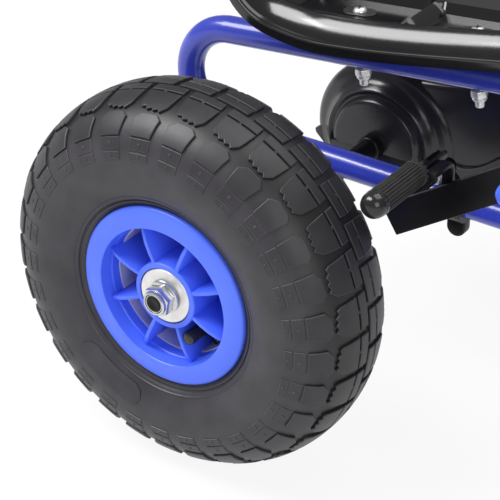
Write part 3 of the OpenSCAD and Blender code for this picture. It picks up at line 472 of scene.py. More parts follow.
# one pitch of tread, millimetres: across from the crown, along the tread
treadPitch = dict(
    blocks=[
        [(1.1, -11.6), (1.1, 11.6), (7.75, 12.1), (7.75, -11.3)],
        [(7.7, -1.6), (7.7, 0.4), (9.3, 0.4), (9.3, -1.6)],
        [(9.25, -11.2), (9.25, 12.2), (17.0, 11.6), (22.0, 10.6), (26.4, 6.4), (24.6, 4.4), (26.2, 1.6),
         (24.3, -0.4), (25.8, -3.4), (23.5, -5.4), (24.4, -8.2), (21.8, -9.9), (12.0, -11.0)]],
    shoulder=[(43.5, -9.1), (31.7, -9.6), (28.1, -4.5), (28.2, 6.8), (31.3, 10.8), (43.5, 8.5)],
    pads=[(44.4, 52.0, -8.8, 8.8), (53.2, 58.2, -8.6, 8.6)],
    dot=dict(radius=1.2, corners=6, first=0.5, step=1.05),
    bevel=0.5, bevelShare=0.45, cutStep=4.2, cutRows=(-4.5, 0.5, 5.0))
# painted light on the tread: tone of the top, the edge and the foot of each kind, 1 being darkest, the edge
# lighter as a painted highlight and the foot darker as painted shade; casing: its tone, kept light on the
# strips as a painted sheen, and where it darkens as painted shade in the grooves between the crown blocks
treadShadeHighlight = dict(block=(0.8, 0.3, 1), shoulder=(0.66, 0.16, 1), pad=(0.47, 0.1, 1), dot=(0.36, 0.2, 0.5))
casingSheenShade = dict(shade=0.34, start=0.1110, over=0.0110)


def treadIsland(name, outline, rise, tones):
    # flat block, eased at the top and cut across so that it can follow the casing
    p = treadPitch
    piece = plate(name, [Vector((s, t, 0)) * mm for s, t in outline], (0, 0, rise))
    bpy.ops.object.mode_set(mode="EDIT")
    cage = bmesh.from_edit_mesh(piece.data)
    for v in cage.verts:
        v.select = v.co.z > rise / 2
    cage.select_flush_mode()
    bmesh.update_edit_mesh(piece.data)
    bpy.ops.mesh.bevel(offset=min(p["bevel"] * mm, rise * p["bevelShare"]), segments=2, affect="EDGES")
    lo = min(s for s, t in outline)
    hi = max(s for s, t in outline)
    step = p["cutStep"]
    cuts = [((lo + k * step) * mm, (1, 0, 0)) for k in range(1, int((hi - lo) / step) + 1)]
    cuts += [(k * mm, (0, 1, 0)) for k in p["cutRows"]]
    for away, normal in cuts:
        bpy.ops.mesh.select_all(action="SELECT")
        bpy.ops.mesh.bisect(plane_co=Vector(normal) * away, plane_no=normal)
    endEdit()
    # painted highlight on the eased edges, painted shade at the feet where the block meets the casing
    tone = piece.data.attributes.new("treadPaintedLight", "FLOAT", "POINT")
    for v in piece.data.vertices:
        up = v.co.z / rise
        tone.data[v.index].value = tones[0] if up > 0.99 else tones[1] if up > 0.3 else tones[2]
    return piece


def sidePanel():
    # bare raised field low on the sidewall: radius and angle, both ends rounded
    arc = [(0.0730, a) for a in range(-134, -105, 4)]
    arc += [(0.0755, -102.5), (0.0805, -101), (0.0855, -102.5)]
    arc += [(0.0880, a) for a in range(-106, -135, -4)]
    arc += [(0.0855, -137.5), (0.0805, -139), (0.0755, -137.5)]
    lift = Vector((0, -tyreCut["panelRise"], 0))
    outline = []
    for r, a in arc:
        a = math.radians(a)
        outline.append(hubAt + Vector((r * math.cos(a), tyreCut["sink"] - tyreWall(r), r * math.sin(a))))
    piece = drawOutline("sidePanel", outline, True)
    bpy.ops.mesh.extrude_region_move(TRANSFORM_OT_translate={"value": lift})
    bpy.ops.mesh.edge_face_add()
    endEdit()
    return piece


def makeTyre():
    t = tyreCut
    side = tyreSide()
    section = [(r, -w) for r, w in reversed(side)] + [(r, w) for r, w in side[1:]]
    casing = lathe("tyreCasing", section, hubAt, steps=t["pitches"] * 4)
    p, tones = treadPitch, treadShadeHighlight
    islands = [treadIsland("treadBlock", outline, t["blockRise"], tones["block"]) for outline in p["blocks"]]
    islands.append(treadIsland("treadShoulder", p["shoulder"], t["shoulderRise"], tones["shoulder"]))
    dot = p["dot"]
    for s0, s1, t0, t1 in p["pads"]:
        corners = [(s0, t0), (s1, t0), (s1, t1), (s0, t1)]
        islands.append(treadIsland("treadPad", corners, t["padRise"], tones["pad"]))
        turns = [dot["first"] + dot["step"] * k for k in range(dot["corners"])]
        ring = [((s0 + s1) / 2 + dot["radius"] * math.cos(a), (t0 + t1) / 2 + dot["radius"] * math.sin(a))
                for a in turns]
        islands.append(treadIsland("treadDot", ring, t["padRise"] + t["dotRise"], tones["dot"]))
    flat = joinPieces(islands, "treadFlat")
    patterns = []
    pitch = math.tau / t["pitches"]
    for k in range(t["pitches"]):
        for sign, shift in ((1, 0), (-1, 0.5)):
            pick(flat)
            bpy.ops.object.duplicate(linked=False)
            twin = bpy.context.object
            for v in twin.data.vertices:
                angle = math.radians(t["firstPitch"]) + (k + shift) * pitch - v.co.y / axleZ
                v.co = onTyre(sign * v.co.x, angle, v.co.z - t["sink"])
            patterns.append(twin)
    bpy.data.objects.remove(flat)
    patterns.append(sidePanel())
    tyre = joinPieces([casing] + patterns, "tyreMaster")
    faceOut(tyre)
    # casing: kept light on the strips between the lugs as a painted sheen, darkening towards the crown as
    # painted shade in the grooves between the crown blocks
    tone, c = tyre.data.attributes["treadPaintedLight"], casingSheenShade
    for v in tyre.data.vertices:
        if tone.data[v.index].value == 0:
            r = math.hypot(v.co.x - hubAt.x, v.co.z - hubAt.z)
            far = min(max((r - c["start"]) / c["over"], 0), 1)
            tone.data[v.index].value = c["shade"] + (1 - c["shade"]) * far
    return tyre


rimCut = dict(lip=61.6, half=36, barrel=50.8, hub=22.7, hubFront=33.8, recess=19.2, spokes=8, firstSpoke=22,
              spokeThick=2.6)


def makeRim():
    c = rimCut
    h, bed, lip = c["half"], c["barrel"], c["lip"]
    line = [(47.6, 37.1), (47.9, 37.5), (48.4, 37.6), (60.0, 36.3), (60.9, 35.9), (61.5, 35.1), (61.6, 34.0),
            (61.5, 32.2), (60.0, 31.5), (bed + 2, 31.2), (bed, 29), (bed, 6 - h), (bed + 2, 3.6 - h),
            (lip - 0.4, 3.4 - h), (lip, 2.2 - h), (lip - 2.2, -h), (46.5, -h), (46.0, 1 - h), (46.0, 21.2),
            (46.4, 21.8), (46.6, 26.8), (47.2, 27.4), (47.4, 28.0)]
    body = lathe("rimBarrel", [(r, -z) for r, z in line], hubAt, 112, True, unit=mm)
    r, front, dip = c["hub"], c["hubFront"], c["recess"]
    line = [(dip, front), (r - 0.6, front), (r, front - 0.6), (r + 0.6, 10), (17.5, 8), (17.0, -30),
            (6.4, -30), (6.4, front - 3.6), (dip, front - 3.6)]
    hub = lathe("rimHub", [(r, -z) for r, z in line], hubAt, 64, True, unit=mm)
    # spoke: flat web between hub and barrel, its front edge dipping a little at the barrel
    edge = [(21.5, front - 0.6), (29.0, 34.0), (36.0, 34.1), (42.0, 33.4), (47.4, 31.8), (46.6, 18.0),
            (46.2, -6), (16.5, -12)]
    spokes = []
    thick = c["spokeThick"] * mm
    for k in range(c["spokes"]):
        out, across = ray(math.radians(c["firstSpoke"] + 360 / c["spokes"] * k))
        base = hubAt - across * thick / 2
        corners = [base + out * (r * mm) + Vector((0, -z * mm, 0)) for r, z in edge]
        web = plate("rimSpoke", corners, across * thick)
        softEdges(web, 0.0005, 2, 50)
        spokes.append(web)
    return joinPieces([body, hub] + spokes, "rimMaster")


def makeBackLight():
    # pale band that shows behind the spokes: painted light, standing in for the light seen through the open
    # back of the rim
    line = [(45.9, -21.0), (45.2, -20.8), (45.1, -20.4), (45.1, 30.0), (45.9, 30.2)]
    return lathe("backLightMaster", line, hubAt, 96, True, unit=mm)


valveSpot = dict(turn=-57, out=31.2, end=33.5, radius=4.4, bend=8.5)


def makeValve():
    # rubber stem that leaves the barrel and turns outwards
    v = valveSpot
    out = ray(math.radians(v["turn"]))[0]
    r, e = v["radius"], v["end"]
    at = hubAt + out * (v["out"] * mm)
    line = [(0, -e), (r - 1.6, 0.1 - e), (r - 0.5, 0.8 - e), (r, 2.2 - e), (r, -20.0), (r + 0.3, -19.0),
            (r + 0.4, -8.0), (r - 0.6, -5.4), (0, -4.6)]
    stem = lathe("valveStem", line, at, 40, unit=mm)
    foot = lathe("valveFoot", [(0, -3), (3.6, -3), (4.3, 1), (4.4, 13.8), (0, 13.8)], at, 40, unit=mm)
    turn = Vector((0, 1, 0)).rotation_difference(out).to_matrix().to_4x4()
    shift = Matrix.Translation(at + Vector((0, -v["bend"] * mm, 0)))
    applyPlace(foot, shift @ turn @ Matrix.Translation(-at))
    return joinPieces([stem, foot], "valveMaster")


def makeWasher():
    line = [(6.4, -30.8), (18.4, -30.8), (18.6, -31.2), (18.6, -33.2), (18.2, -33.6), (6.4, -33.6)]
    return lathe("washerMaster", line, hubAt, 72, True, unit=mm)


nutCut = dict(flats=18, depth=8.2, middle=-39.3, turn=10, bevel=0.7)


def makeNut():
    n = nutCut
    line = [(6.2, -33.7), (9.6, -33.7), (9.8, -34.4), (11.3, -34.7), (11.0, -35.5), (9.2, -36.4),
            (6.2, -36.4)]
    flange = lathe("nutFlange", line, hubAt, 48, True, unit=mm)
    body = hexagon(n["flats"], n["depth"], n["bevel"], hubAt + Vector((0, n["middle"] * mm, 0)),
                   (math.pi / 2, math.radians(n["turn"]), 0))
    line = [(6.0, -41.1), (8.4, -41.3), (8.5, -43.7), (8.1, -45.1), (7.4, -45.6), (6.7, -45.4), (6.3, -44.3),
            (6.0, -43.7)]
    collar = lathe("nutCollar", line, hubAt, 48, True, unit=mm)
    return joinPieces([flange, body, collar], "nutMaster")


def makeTip():
    # dark thread end inside the nut's collar: a blackened end, made darker as the painted shade of the
    # recessed hole
    line = [(6.2, -44.0), (5.9, -44.8), (5.2, -45.4), (3.6, -45.5), (3.0, -45.1), (0, -45.0)]
    return lathe("tipMaster", line, hubAt, 32, unit=mm)


# kind: "each" has a node at every wheel, "shared" one node for both rear wheels, "extra" none
wheelParts = [
    dict(make=makeTyre, name="tyre", look="tyreRubber", slot="tyre", kind="each", angle=18),
    dict(make=makeRim, name="rim", look="rimPlastic", slot="blue_plastic", kind="each"),
    dict(make=makeBackLight, name="backLight", look="paleBackLight", slot="zinc", kind="extra"),
    dict(make=makeValve, name="valve", look="glossRubber", slot="rubber", kind="shared"),
    dict(make=makeWasher, name="washer", look="zincPlate", slot="zinc", kind="shared"),
    dict(make=makeNut, name="nut", look="nutZinc", slot="zinc", kind="shared", still=True),
    dict(make=makeTip, name="tip", look="leverPaint", slot="black_paint", kind="extra", still=True),
]


def makeWheels():
    for part in wheelParts:
        master = part["make"]()
        made = []
        for wheel in wheelSpots:
            node = "%s_%s_%s" % (wheel["end"], part["name"], wheel["side"])
            made.append((wheel, node, copyPiece(master, node + "_look", wheel["move"], flipY=wheel["flip"])))
        bpy.data.objects.remove(master)
        for wheel, node, piece in made:
            # what is still stays on the knuckle when a front wheel turns
            rear = wheel["end"] == "rear"
            body = "knuckle_" + wheel["side"] if part.get("still") and not rear else wheel["body"]
            nodes = (node,)
            if rear and part["kind"] == "shared":
                nodes = ("rear_%ss" % part["name"],) if wheel["side"] == "right" else ()
            elif part["kind"] == "extra":
                nodes = ()
            dress(piece, part["look"], body, nodes, part.get("angle", 32))
        print("made", part["name"])


makeWheels()


# frame pieces: kart millimetres run from the rear axle and the ground

axleUp = 130
crankAt = (560, 200)
bodyOfNode = {n: body for body, group in frame["record"]["behaviour"]["bodies"].items() for n in group}


def spot(x, y, z):
    return Vector((rearX + x * mm, y * mm, z * mm))


def ease(t):
    t = min(max(t, 0), 1)
    return t * t * (3 - 2 * t)


def sheet(name, y, outline, thick):
    # plate along X and Z, its first face at y
    return plate(name, [spot(x, y, z) for x, z in outline], (0, thick * mm, 0))


def easeNode(name, width, look=None):
    # copy of a CAD node, merged, with its edges rounded
    node = frame["nodes"][name]
    piece = bpy.data.objects.new(name + "_look", node.data.copy())
    bpy.context.scene.collection.objects.link(piece)
    editAll(piece)
    bpy.ops.mesh.remove_doubles(threshold=weld)
    bpy.ops.mesh.dissolve_limited(angle_limit=math.radians(0.5))
    endEdit()
    softEdges(piece, width, 2, 40)
    slot = [p["material_slot"] for p in frame["record"]["subparts"] if p["node"] == name][0]
    return dress(piece, look or slotFinish[slot], bodyOfNode[name], (name,))


def cutOff(piece, place, normal):
    # the part on the normal's side goes
    editAll(piece)
    bpy.ops.mesh.bisect(plane_co=place, plane_no=normal, clear_outer=True)
    endEdit()


# chain guard

guardCut = dict(back=5.85, leftBack=6.15, leftFace=25.6, wall=2.2, bottom=108, flangeTop=125.3, tilt=7.125,
                span=564.36, cog=32.55, ring=48.65, round=5, spare=12, over=14, under=24, gap=0.6)


def guardShell(name, outline, yFront, yBack):
    # open-backed cover: rounded at its front, its back cut away
    g = guardCut
    sign = 1 if yBack > yFront else -1
    piece = sheet(name, yFront, outline, yBack - yFront + g["spare"] * sign)
    softEdges(piece, g["round"] * mm, 4, 40)
    cutOff(piece, spot(0, yBack, 0), (0, sign, 0))
    useModifier(piece, "SOLIDIFY", thickness=g["wall"] * mm, offset=-1)
    return piece


def guardTurn(name, line, place, steps, level=None):
    # wall turned round the axle or the crank; what is under the level goes
    piece = lathe(name, line, place, steps, unit=mm)
    if level:
        cutOff(piece, spot(0, 0, level), (0, 0, -1))
    useModifier(piece, "SOLIDIFY", thickness=guardCut["wall"] * mm, offset=-1)
    return piece


def makeGuard():
    g = guardCut
    back, low, high = g["back"], g["bottom"], g["flangeTop"]
    axle, crank = spot(0, 0, axleUp), spot(crankAt[0], 0, crankAt[1])
    # rear cover: flat face, small step, round rib, then the drum
    line = [(7.9, -27.2), (7.9, -28.0), (30.4, -28.0), (32.4, -27.6), (33.8, -26.4), (34.6, -24.4),
            (35.6, -22.8), (37.0, -22.5), (38.2, -23.2), (39.4, -24.0), (40.6, -23.9), (41.8, -22.8),
            (43.2, -20.4), (45.2, -17.8), (48.2, -16.2), (51.4, -15.2), (54.2, -13.6), (56.4, -10.8),
            (57.4, -7.2), (57.5, -4), (57.5, back)]
    drum = guardTurn("guardDrum", line, axle, 128, low)
    # flat field under the crease
    flange = sheet("guardFlange", -28.6, [(-34.5, high), (34.5, high), (41, low), (-41, low)], 3)
    softEdges(flange, 0.0007)
    tab = sheet("guardTab", -15, [(-50, 127), (-57.6, 121.6), (-57, 118.4), (-49, 111)], 8)
    softEdges(tab, 0.0008)
    # tunnel over the upper run; its lower edge swings up from the drum
    top = []
    under = [(46, 112), (61, 111.6), (77, 114.6), (90, 119.6), (107, 128), (125, 138), (143, 147.4),
             (160, 155.6)]
    for x in range(0, crankAt[0] + 1, 40):
        climb = (crankAt[1] - axleUp + g["ring"] - g["cog"]) / crankAt[0]
        run = axleUp + g["cog"] + g["gap"] + x * climb
        top.append((x, run + g["over"]))
        if x > 180:
            under.append((x, run - g["under"]))
    outline = top + under[::-1] + [(20, 122)]
    tunnel = guardShell("guardTunnel", outline, -11.5, back)
    crease = [(58, 124.8), (63, 124.4), (68, 125.4), (75, 127.8), (82, 132.2), (90, 138.8), (100, 145.6),
              (112, 150.6), (130, 154.4), (150, 157.6)]
    strip = [(x, z + 1.5) for x, z in crease] + [(x, z - 1.5) for x, z in crease[::-1]]
    fold = sheet("guardFold", -12.9, strip, 2.4)
    softEdges(fold, 0.0009, 2, 50)
    line = [(11.5, -13.2), (11.5, -14.0), (30, -14.0), (32, -13.4), (33.4, -12), (35, -11.6), (51, -11.6),
            (56.5, -10.6), (60.2, -7.6), (61.8, -3.6), (62.05, 0), (62.05, back)]
    cover = guardTurn("guardCover", line, crank, 112)
    guard = joinPieces([drum, flange, tab, tunnel, fold, cover], "guard_right_look")
    dress(guard, "guardPlastic", "frame", ("guard_right",), 30)
    # left half: plainer
    back, face = g["leftBack"], g["leftFace"]
    line = [(7.9, face - 0.6), (7.9, face), (49, face), (53.6, face - 1.2), (56.6, face - 4.2),
            (57.5, face - 8), (57.5, back)]
    drum = guardTurn("guardDrumLeft", line, axle, 96, low)
    line = [(11.5, face - 0.6), (11.5, face), (53, face), (58, face - 1.6), (61, face - 4.6),
            (62.05, face - 9), (62.05, back)]
    cover = guardTurn("guardCoverLeft", line, crank, 96)
    tunnel = guardShell("guardTunnelLeft", outline, face - 2.5, back)
    left = joinPieces([drum, cover, tunnel], "guard_left_look")
    dress(left, "guardPlastic", "frame", ("guard_left",), 30)
    print("made guard")


makeGuard()

# seat shell

seatCut = dict(front=186, floor=265.84, slope=5.65, lipR=46, lipTurn=50, floorRun=196, rearR=65, recline=10,
               back=215, width=304, edge=14, side=7.5, wall=3.4, lift=7, along=132, rimFirst=29, rimLast=63,
               rimRoll=28, lines=(0, 7, 14, 21, 28, 35, 42, 49, 56, 63, 70, 76, 81, 83.6, 86.2, 90, 95, 100,
                                  105, 110, 114, 117.5, 120))
# changes along the seat: amount, share where it starts, share it takes, less than 0 being towards the front
seatSteps = dict(half=((-14, 0.45, 0.17), (-30, 0.8, 0.2), (-10, 0.12, -0.12)),
                 side=((13, 0.36, -0.36), (30.5, 0.36, 0.24), (-28, 0.72, 0.28)),
                 field=((1, 0.02, 0.07), (1, 0.62, -0.12)))
seatPockets = dict(along=((31, 43), (121, 39)), y=103, halfY=18, wallX=7, wallY=2.6, edge=12, over=8)
seatBolts = dict(along=(36, 121), half=105, level=237.29)


def seatPath(run):
    # middle line of the seat from its front lip: x, z and heading
    c = seatCut
    up = math.radians(c["slope"])
    lip = math.radians(c["lipTurn"]) * c["lipR"]
    turn = math.radians(90 - c["recline"]) + up
    x, z = c["front"], c["floor"] + c["front"] * math.tan(up)
    head = math.pi + up
    if run < lip:
        a = (lip - run) / c["lipR"]
        cx, cz = x - math.sin(head) * c["lipR"], z + math.cos(head) * c["lipR"]
        return cx + math.sin(head - a) * c["lipR"], cz - math.cos(head - a) * c["lipR"], head - a
    run -= lip
    step = min(run, c["floorRun"])
    x, z = x + math.cos(head) * step, z + math.sin(head) * step
    run -= step
    if run > 0:
        a = min(run / c["rearR"], turn)
        cx, cz = x + math.sin(head) * c["rearR"], z - math.cos(head) * c["rearR"]
        x, z = cx - math.sin(head - a) * c["rearR"], cz + math.cos(head - a) * c["rearR"]
        head -= a
        run -= a * c["rearR"]
        x, z = x + math.cos(head) * max(run, 0), z + math.sin(head) * max(run, 0)
    return x, z, head


def seatChanges(key, s):
    return [amount * ease((s - start) / over) for amount, start, over in seatSteps[key]]


def seatHalf(s):
    return seatCut["width"] / 2 - seatCut["edge"] + sum(seatChanges("half", s))


def seatSide(s):
    return seatCut["side"] + sum(seatChanges("side", s))


def seatField(s, x, out):
    # share of the raised field, with pockets left at the bolts
    p = seatPockets
    field = ease((seatHalf(s) - p["edge"] - out) / p["over"]) * math.prod(seatChanges("field", s))
    for middle, half in p["along"]:
        inside = ease((half - abs(x - middle)) / p["wallX"] + 0.5)
        field *= 1 - inside * ease((p["halfY"] - abs(out - p["y"])) / p["wallY"] + 0.5)
    return field


def seatSection(w, h):
    # half section from the middle: (out, up), broad rolled rim with two fine steps over its skirt
    c = seatCut
    points = [(y / c["lines"][-1] * (w - 18), 0) for y in c["lines"]]
    points += [(w - 18 + 11 * q, (h - 0.5) * ease(q)) for q in (0.17, 0.33, 0.5, 0.67, 0.83, 1)]
    first, last = math.radians(c["rimFirst"]), math.radians(c["rimLast"])
    for q in range(10):
        a = first + (last - first) * q / 9
        points.append((w - 5 + c["rimRoll"] * (math.sin(a) - math.sin(first)),
                       h - 0.1 - c["rimRoll"] * (math.cos(first) - math.cos(a))))
    points += [(w + 8.8, h - 12.3), (w + 9.0, h - 12.7), (w + 9.1, h - 13.3), (w + 10.4, h - 13.5),
               (w + 10.6, h - 13.9), (w + 10.6, h - 15), (w + 10.6, h - 17), (w + 10.5, h - 19),
               (w + 10.3, h - 20.5)]
    return points


def boltPlaces():
    # where the bolts cross the rails, tilted as the seat
    b, slope = seatBolts, math.radians(seatCut["slope"])
    tilt = Matrix.Rotation(-slope, 4, "Y")
    return [Matrix.Translation(spot(x, side * b["half"], b["level"] + x * math.tan(slope))) @ tilt
            for x in b["along"] for side in (-1, 1)]


def makeSeat():
    c = seatCut
    total = math.radians(c["lipTurn"]) * c["lipR"] + c["floorRun"] + c["back"]
    total += (math.radians(90 - c["recline"]) + math.radians(c["slope"])) * c["rearR"]
    count = len(seatSection(0, 0)) - 1
    bpy.ops.object.select_all(action="DESELECT")
    bpy.ops.mesh.primitive_grid_add(x_subdivisions=c["along"], y_subdivisions=2 * count, size=2)
    seat = bpy.context.object
    for v in seat.data.vertices:
        s = (v.co.x + 1) / 2
        k = round(v.co.y * count)
        x, z, head = seatPath(s * total)
        out, rise = seatSection(seatHalf(s), seatSide(s))[abs(k)]
        rise += c["lift"] * seatField(s, x, out)
        side = 1 if k > 0 else -1
        v.co = spot(x + math.sin(head) * rise, side * out, z - math.cos(head) * rise)
    faceOut(seat)
    middle = min(seat.data.polygons, key=lambda f: (f.center - spot(80, 0, 280)).length)
    if middle.normal.z < 0:
        editAll(seat)
        bpy.ops.mesh.flip_normals()
        endEdit()
    useModifier(seat, "SOLIDIFY", thickness=c["wall"] * mm, offset=-1)
    line = [(3.3, 9.8), (10.8, 9.8), (11.0, 10.2), (11.8, 27), (3.3, 27.5)]
    feet = []
    for place in boltPlaces():
        foot = lathe("seatFoot", line, (0, 0, 0), 36, True, (0, 0, 1), mm)
        applyPlace(foot, place)
        feet.append(foot)
    shell = joinPieces([seat] + feet, "seat_look")
    dress(shell, "seatPlastic", "frame", ("seat",), 40)
    print("made seat")


makeSeat()

boltCut = dict(head=4.6, height=3.2, top=28.9, shaft=3, nutFlats=10, nutDepth=4.6, nutBevel=0.5, nutAt=-12.1,
               nutTurn=0.3, crossTurn=0.4, crossBevel=0.2, ovalSides=28, ovalBevel=0.3, thick=1)


def makeBolts():
    b = boltCut
    top, shaft = b["top"], b["shaft"]
    peak = top + b["height"]
    headLine = [(0, peak), (1.8, peak - 0.1), (3.3, peak - 0.6), (4.3, peak - 1.8), (b["head"], top + 0.6),
                (b["head"], top), (shaft, top), (shaft, 0.5)]
    studLine = [(shaft, -9.5), (shaft, -20.6), (2.5, -21.5), (0, -21.5)]
    ringLine = [(3.2, -14.0), (4.7, -14.2), (4.8, -15.8), (4.2, -16.8), (3.2, -16.8)]
    cross = [(-2.4, -0.6), (2.4, -0.6), (2.4, 0.6), (-2.4, 0.6)]
    turns = [math.tau * (i + 0.5) / b["ovalSides"] for i in range(b["ovalSides"])]
    oval = [(8 * math.cos(a) + (4 if math.cos(a) > 0 else -4), 6.4 * math.sin(a)) for a in turns]
    # name, outline, height, turn and rounding of what is dark at each bolt: flat plates painted dark as the
    # shade in each head's cross recess and in the slot under the head
    dark = [("boltCross", cross, peak - 0.7, b["crossTurn"], b["crossBevel"]),
            ("boltCross", cross, peak - 0.7, b["crossTurn"] + math.pi / 2, b["crossBevel"]),
            ("boltOval", oval, top - 0.6, 0, b["ovalBevel"])]
    heads, shadePlates, nuts = [], [], []
    for place in boltPlaces():
        head = lathe("boltHead", headLine, (0, 0, 0), 32, False, (0, 0, 1), mm)
        stud = lathe("boltStud", studLine, (0, 0, 0), 24, False, (0, 0, 1), mm)
        collar = lathe("nutRing", ringLine, (0, 0, 0), 28, True, (0, 0, 1), mm)
        for piece in (head, stud, collar):
            applyPlace(piece, place)
        for name, outline, z, turn, bevel in dark:
            piece = plate(name, [Vector((u, w, z)) * mm for u, w in outline], (0, 0, b["thick"] * mm))
            softEdges(piece, bevel * mm, 1)
            applyPlace(piece, place @ Matrix.Rotation(turn, 4, "Z"))
            shadePlates.append(piece)
        body = hexagon(b["nutFlats"], b["nutDepth"], b["nutBevel"], (0, 0, 0))
        below = Matrix.Translation((0, 0, b["nutAt"] * mm))
        applyPlace(body, place @ Matrix.Rotation(b["nutTurn"], 4, "Z") @ below)
        heads += [head, stud]
        nuts += [body, collar]
    dress(joinPieces(heads, "seat_bolts_look"), "zincPlate", "frame", ("seat_bolts",))
    dress(joinPieces(nuts, "seat_nuts_look"), "zincPlate", "frame", ("seat_nuts",))
    # the painted-shade plates of the cross recesses and slots
    dress(joinPieces(shadePlates, "seat_bolt_shade"), "nylon", "frame", ())
    print("made seat bolts")


makeBolts()

# hand brake: bar, strap, ribbed sleeve, cap

brakeCut = dict(x=123.4, z=215.2, inner=-180, outer=-237.5, ribs=26, teeth=16, toothAt=-182.4)
leverCut = dict(pivot=(100, 176), start=(95.5, 164.6), rise=33.0, length=205, width=21, thick=5, y=-162,
                nutFlats=9.6, nutDepth=6.4, nutBevel=0.6, nutAt=-116, nutTurn=0.2)
clampCut = dict(rail=(-105, 157), lug=(113, 139), lugR=6.75, lugY=-109, armY=-108)


def makeLever():
    c = leverCut
    a = math.radians(c["rise"])
    along, over = (math.cos(a), math.sin(a)), (-math.sin(a), math.cos(a))
    corners = []
    for run, w in ((0, -0.5), (c["length"], -0.5), (c["length"], 0.5), (0, 0.5)):
        corners.append([c["start"][i] + along[i] * run + over[i] * w * c["width"] for i in (0, 1)])
    bar = sheet("leverBar", c["y"] - c["thick"] / 2, corners, c["thick"])
    pivot = spot(c["pivot"][0], 0, c["pivot"][1])
    line = [(0, -164.4), (8.6, -164.4), (9.0, -164.0), (9.0, -159.6), (0, -159.6)]
    ear = lathe("leverEar", line, pivot, 40, unit=mm)
    line = [(0, -160), (3.9, -160), (3.9, -95.5), (3.2, -94.8), (0, -94.8)]
    pin = lathe("leverPin", line, pivot, 32, unit=mm)
    line = [(3.8, -99.0), (5.6, -99.0), (5.8, -98.4), (5.4, -97.2), (3.8, -97.0)]
    clip = lathe("leverClip", line, pivot, 36, True, unit=mm)
    softEdges(bar, 0.0005)
    lever = joinPieces([bar, ear, pin, clip], "brake_lever_look")
    dress(lever, "leverPaint", "brake", ("brake_lever",))
    nut = hexagon(c["nutFlats"], c["nutDepth"], c["nutBevel"], pivot + Vector((0, c["nutAt"] * mm, 0)),
                  (math.pi / 2, c["nutTurn"], 0))
    nut.name = "brake_nuts_look"
    dress(nut, "zincPlate", "brake", ("brake_nuts",))


def makeBracket():
    # clamp round the lower tube, lug under it, small arm up to the pivot
    c = clampCut
    line = [(9.5, 106.2), (13.1, 106.0), (13.5, 106.6), (13.5, 119.4), (13.1, 120.0), (9.5, 119.8)]
    ring = lathe("clampRing", line, (0, 0, 0), 56, True, (0, 0, 1), mm)
    applyPlace(ring, Matrix.Translation(spot(0, *c["rail"])) @ Matrix.Rotation(math.pi / 2, 4, "Y"))
    turns = [math.pi * (1 + k / 12) for k in range(13)]
    tongue = [(c["lug"][0] + c["lugR"] * math.cos(a), c["lug"][1] + c["lugR"] * math.sin(a)) for a in turns]
    lug = sheet("clampLug", c["lugY"], tongue + [(119.7, 148), (106.3, 148)], 8)
    arm = sheet("clampArm", c["armY"], [(96.4, 176), (104.6, 179), (116, 167), (110, 167)], 6)
    for p in (lug, arm):
        softEdges(p, 0.0012, 3)
    line = [(4.1, -109.2), (5.6, -109.2), (6.0, -108.6), (6.0, -101.2), (5.6, -100.6), (4.1, -100.6)]
    pivot = leverCut["pivot"]
    boss = lathe("clampBoss", line, spot(pivot[0], 0, pivot[1]), 40, True, unit=mm)
    dress(joinPieces([ring, lug, arm, boss], "brake_bracket_look"), "leverPaint", bodyOfNode["brake_bracket"],
          ("brake_bracket",))


def makeSleeve(axis):
    b = brakeCut
    ribs = []
    for k in range(b["ribs"]):
        for da, r in ((0, 7.7), (2.6, 7.7), (3.8, 8.55), (9.4, 8.55), (10.6, 7.7)):
            a = math.radians(k * 360 / b["ribs"] + da)
            ribs.append(Vector((r * math.cos(a), 0, r * math.sin(a))) * mm)
    start, end = b["inner"] - 4, b["outer"] + 8
    outline = [axis + v + Vector((0, start * mm, 0)) for v in ribs]
    grip = plate("sleeveRibs", outline, (0, (end - start) * mm, 0))
    softEdges(grip, 0.00025, 1, 30)
    line = [(0, -237.6), (3.0, -237.2), (5.4, -236.0), (7.2, -234.0), (8.2, -231.6), (8.5, -229.8),
            (8.5, -229.2), (8.1, -228.8), (8.1, -228.2), (8.6, -227.8), (8.6, -226.2), (7.6, -225.6),
            (0, -225.6)]
    dome = lathe("sleeveCap", line, axis, 48, unit=mm)
    line = [(4.2, -179.6), (6.8, -179.6), (7.3, -180.2), (7.3, -182.0), (8.4, -182.4), (8.6, -183.2),
            (8.6, -185.0), (7.6, -185.6), (4.2, -185.6)]
    collar = lathe("sleeveRim", line, axis, 48, True, unit=mm)
    teeth = []
    base = axis + Vector((0, b["toothAt"] * mm, 0))
    for k in range(b["teeth"]):
        out, across = ray(math.tau * k / b["teeth"])
        square = ((6.9, -0.8), (8.4, -0.8), (8.4, 0.8), (6.9, 0.8))
        corners = [base + out * r * mm + across * w * mm for r, w in square]
        teeth.append(plate("sleeveTooth", corners, (0, 0.0020, 0)))
    sleeve = joinPieces([grip, collar] + teeth, "brake_sleeve_look")
    dress(sleeve, "softRubber", "brake", ("brake_sleeve",))
    dress(dome, "glossRubber", "brake", ())


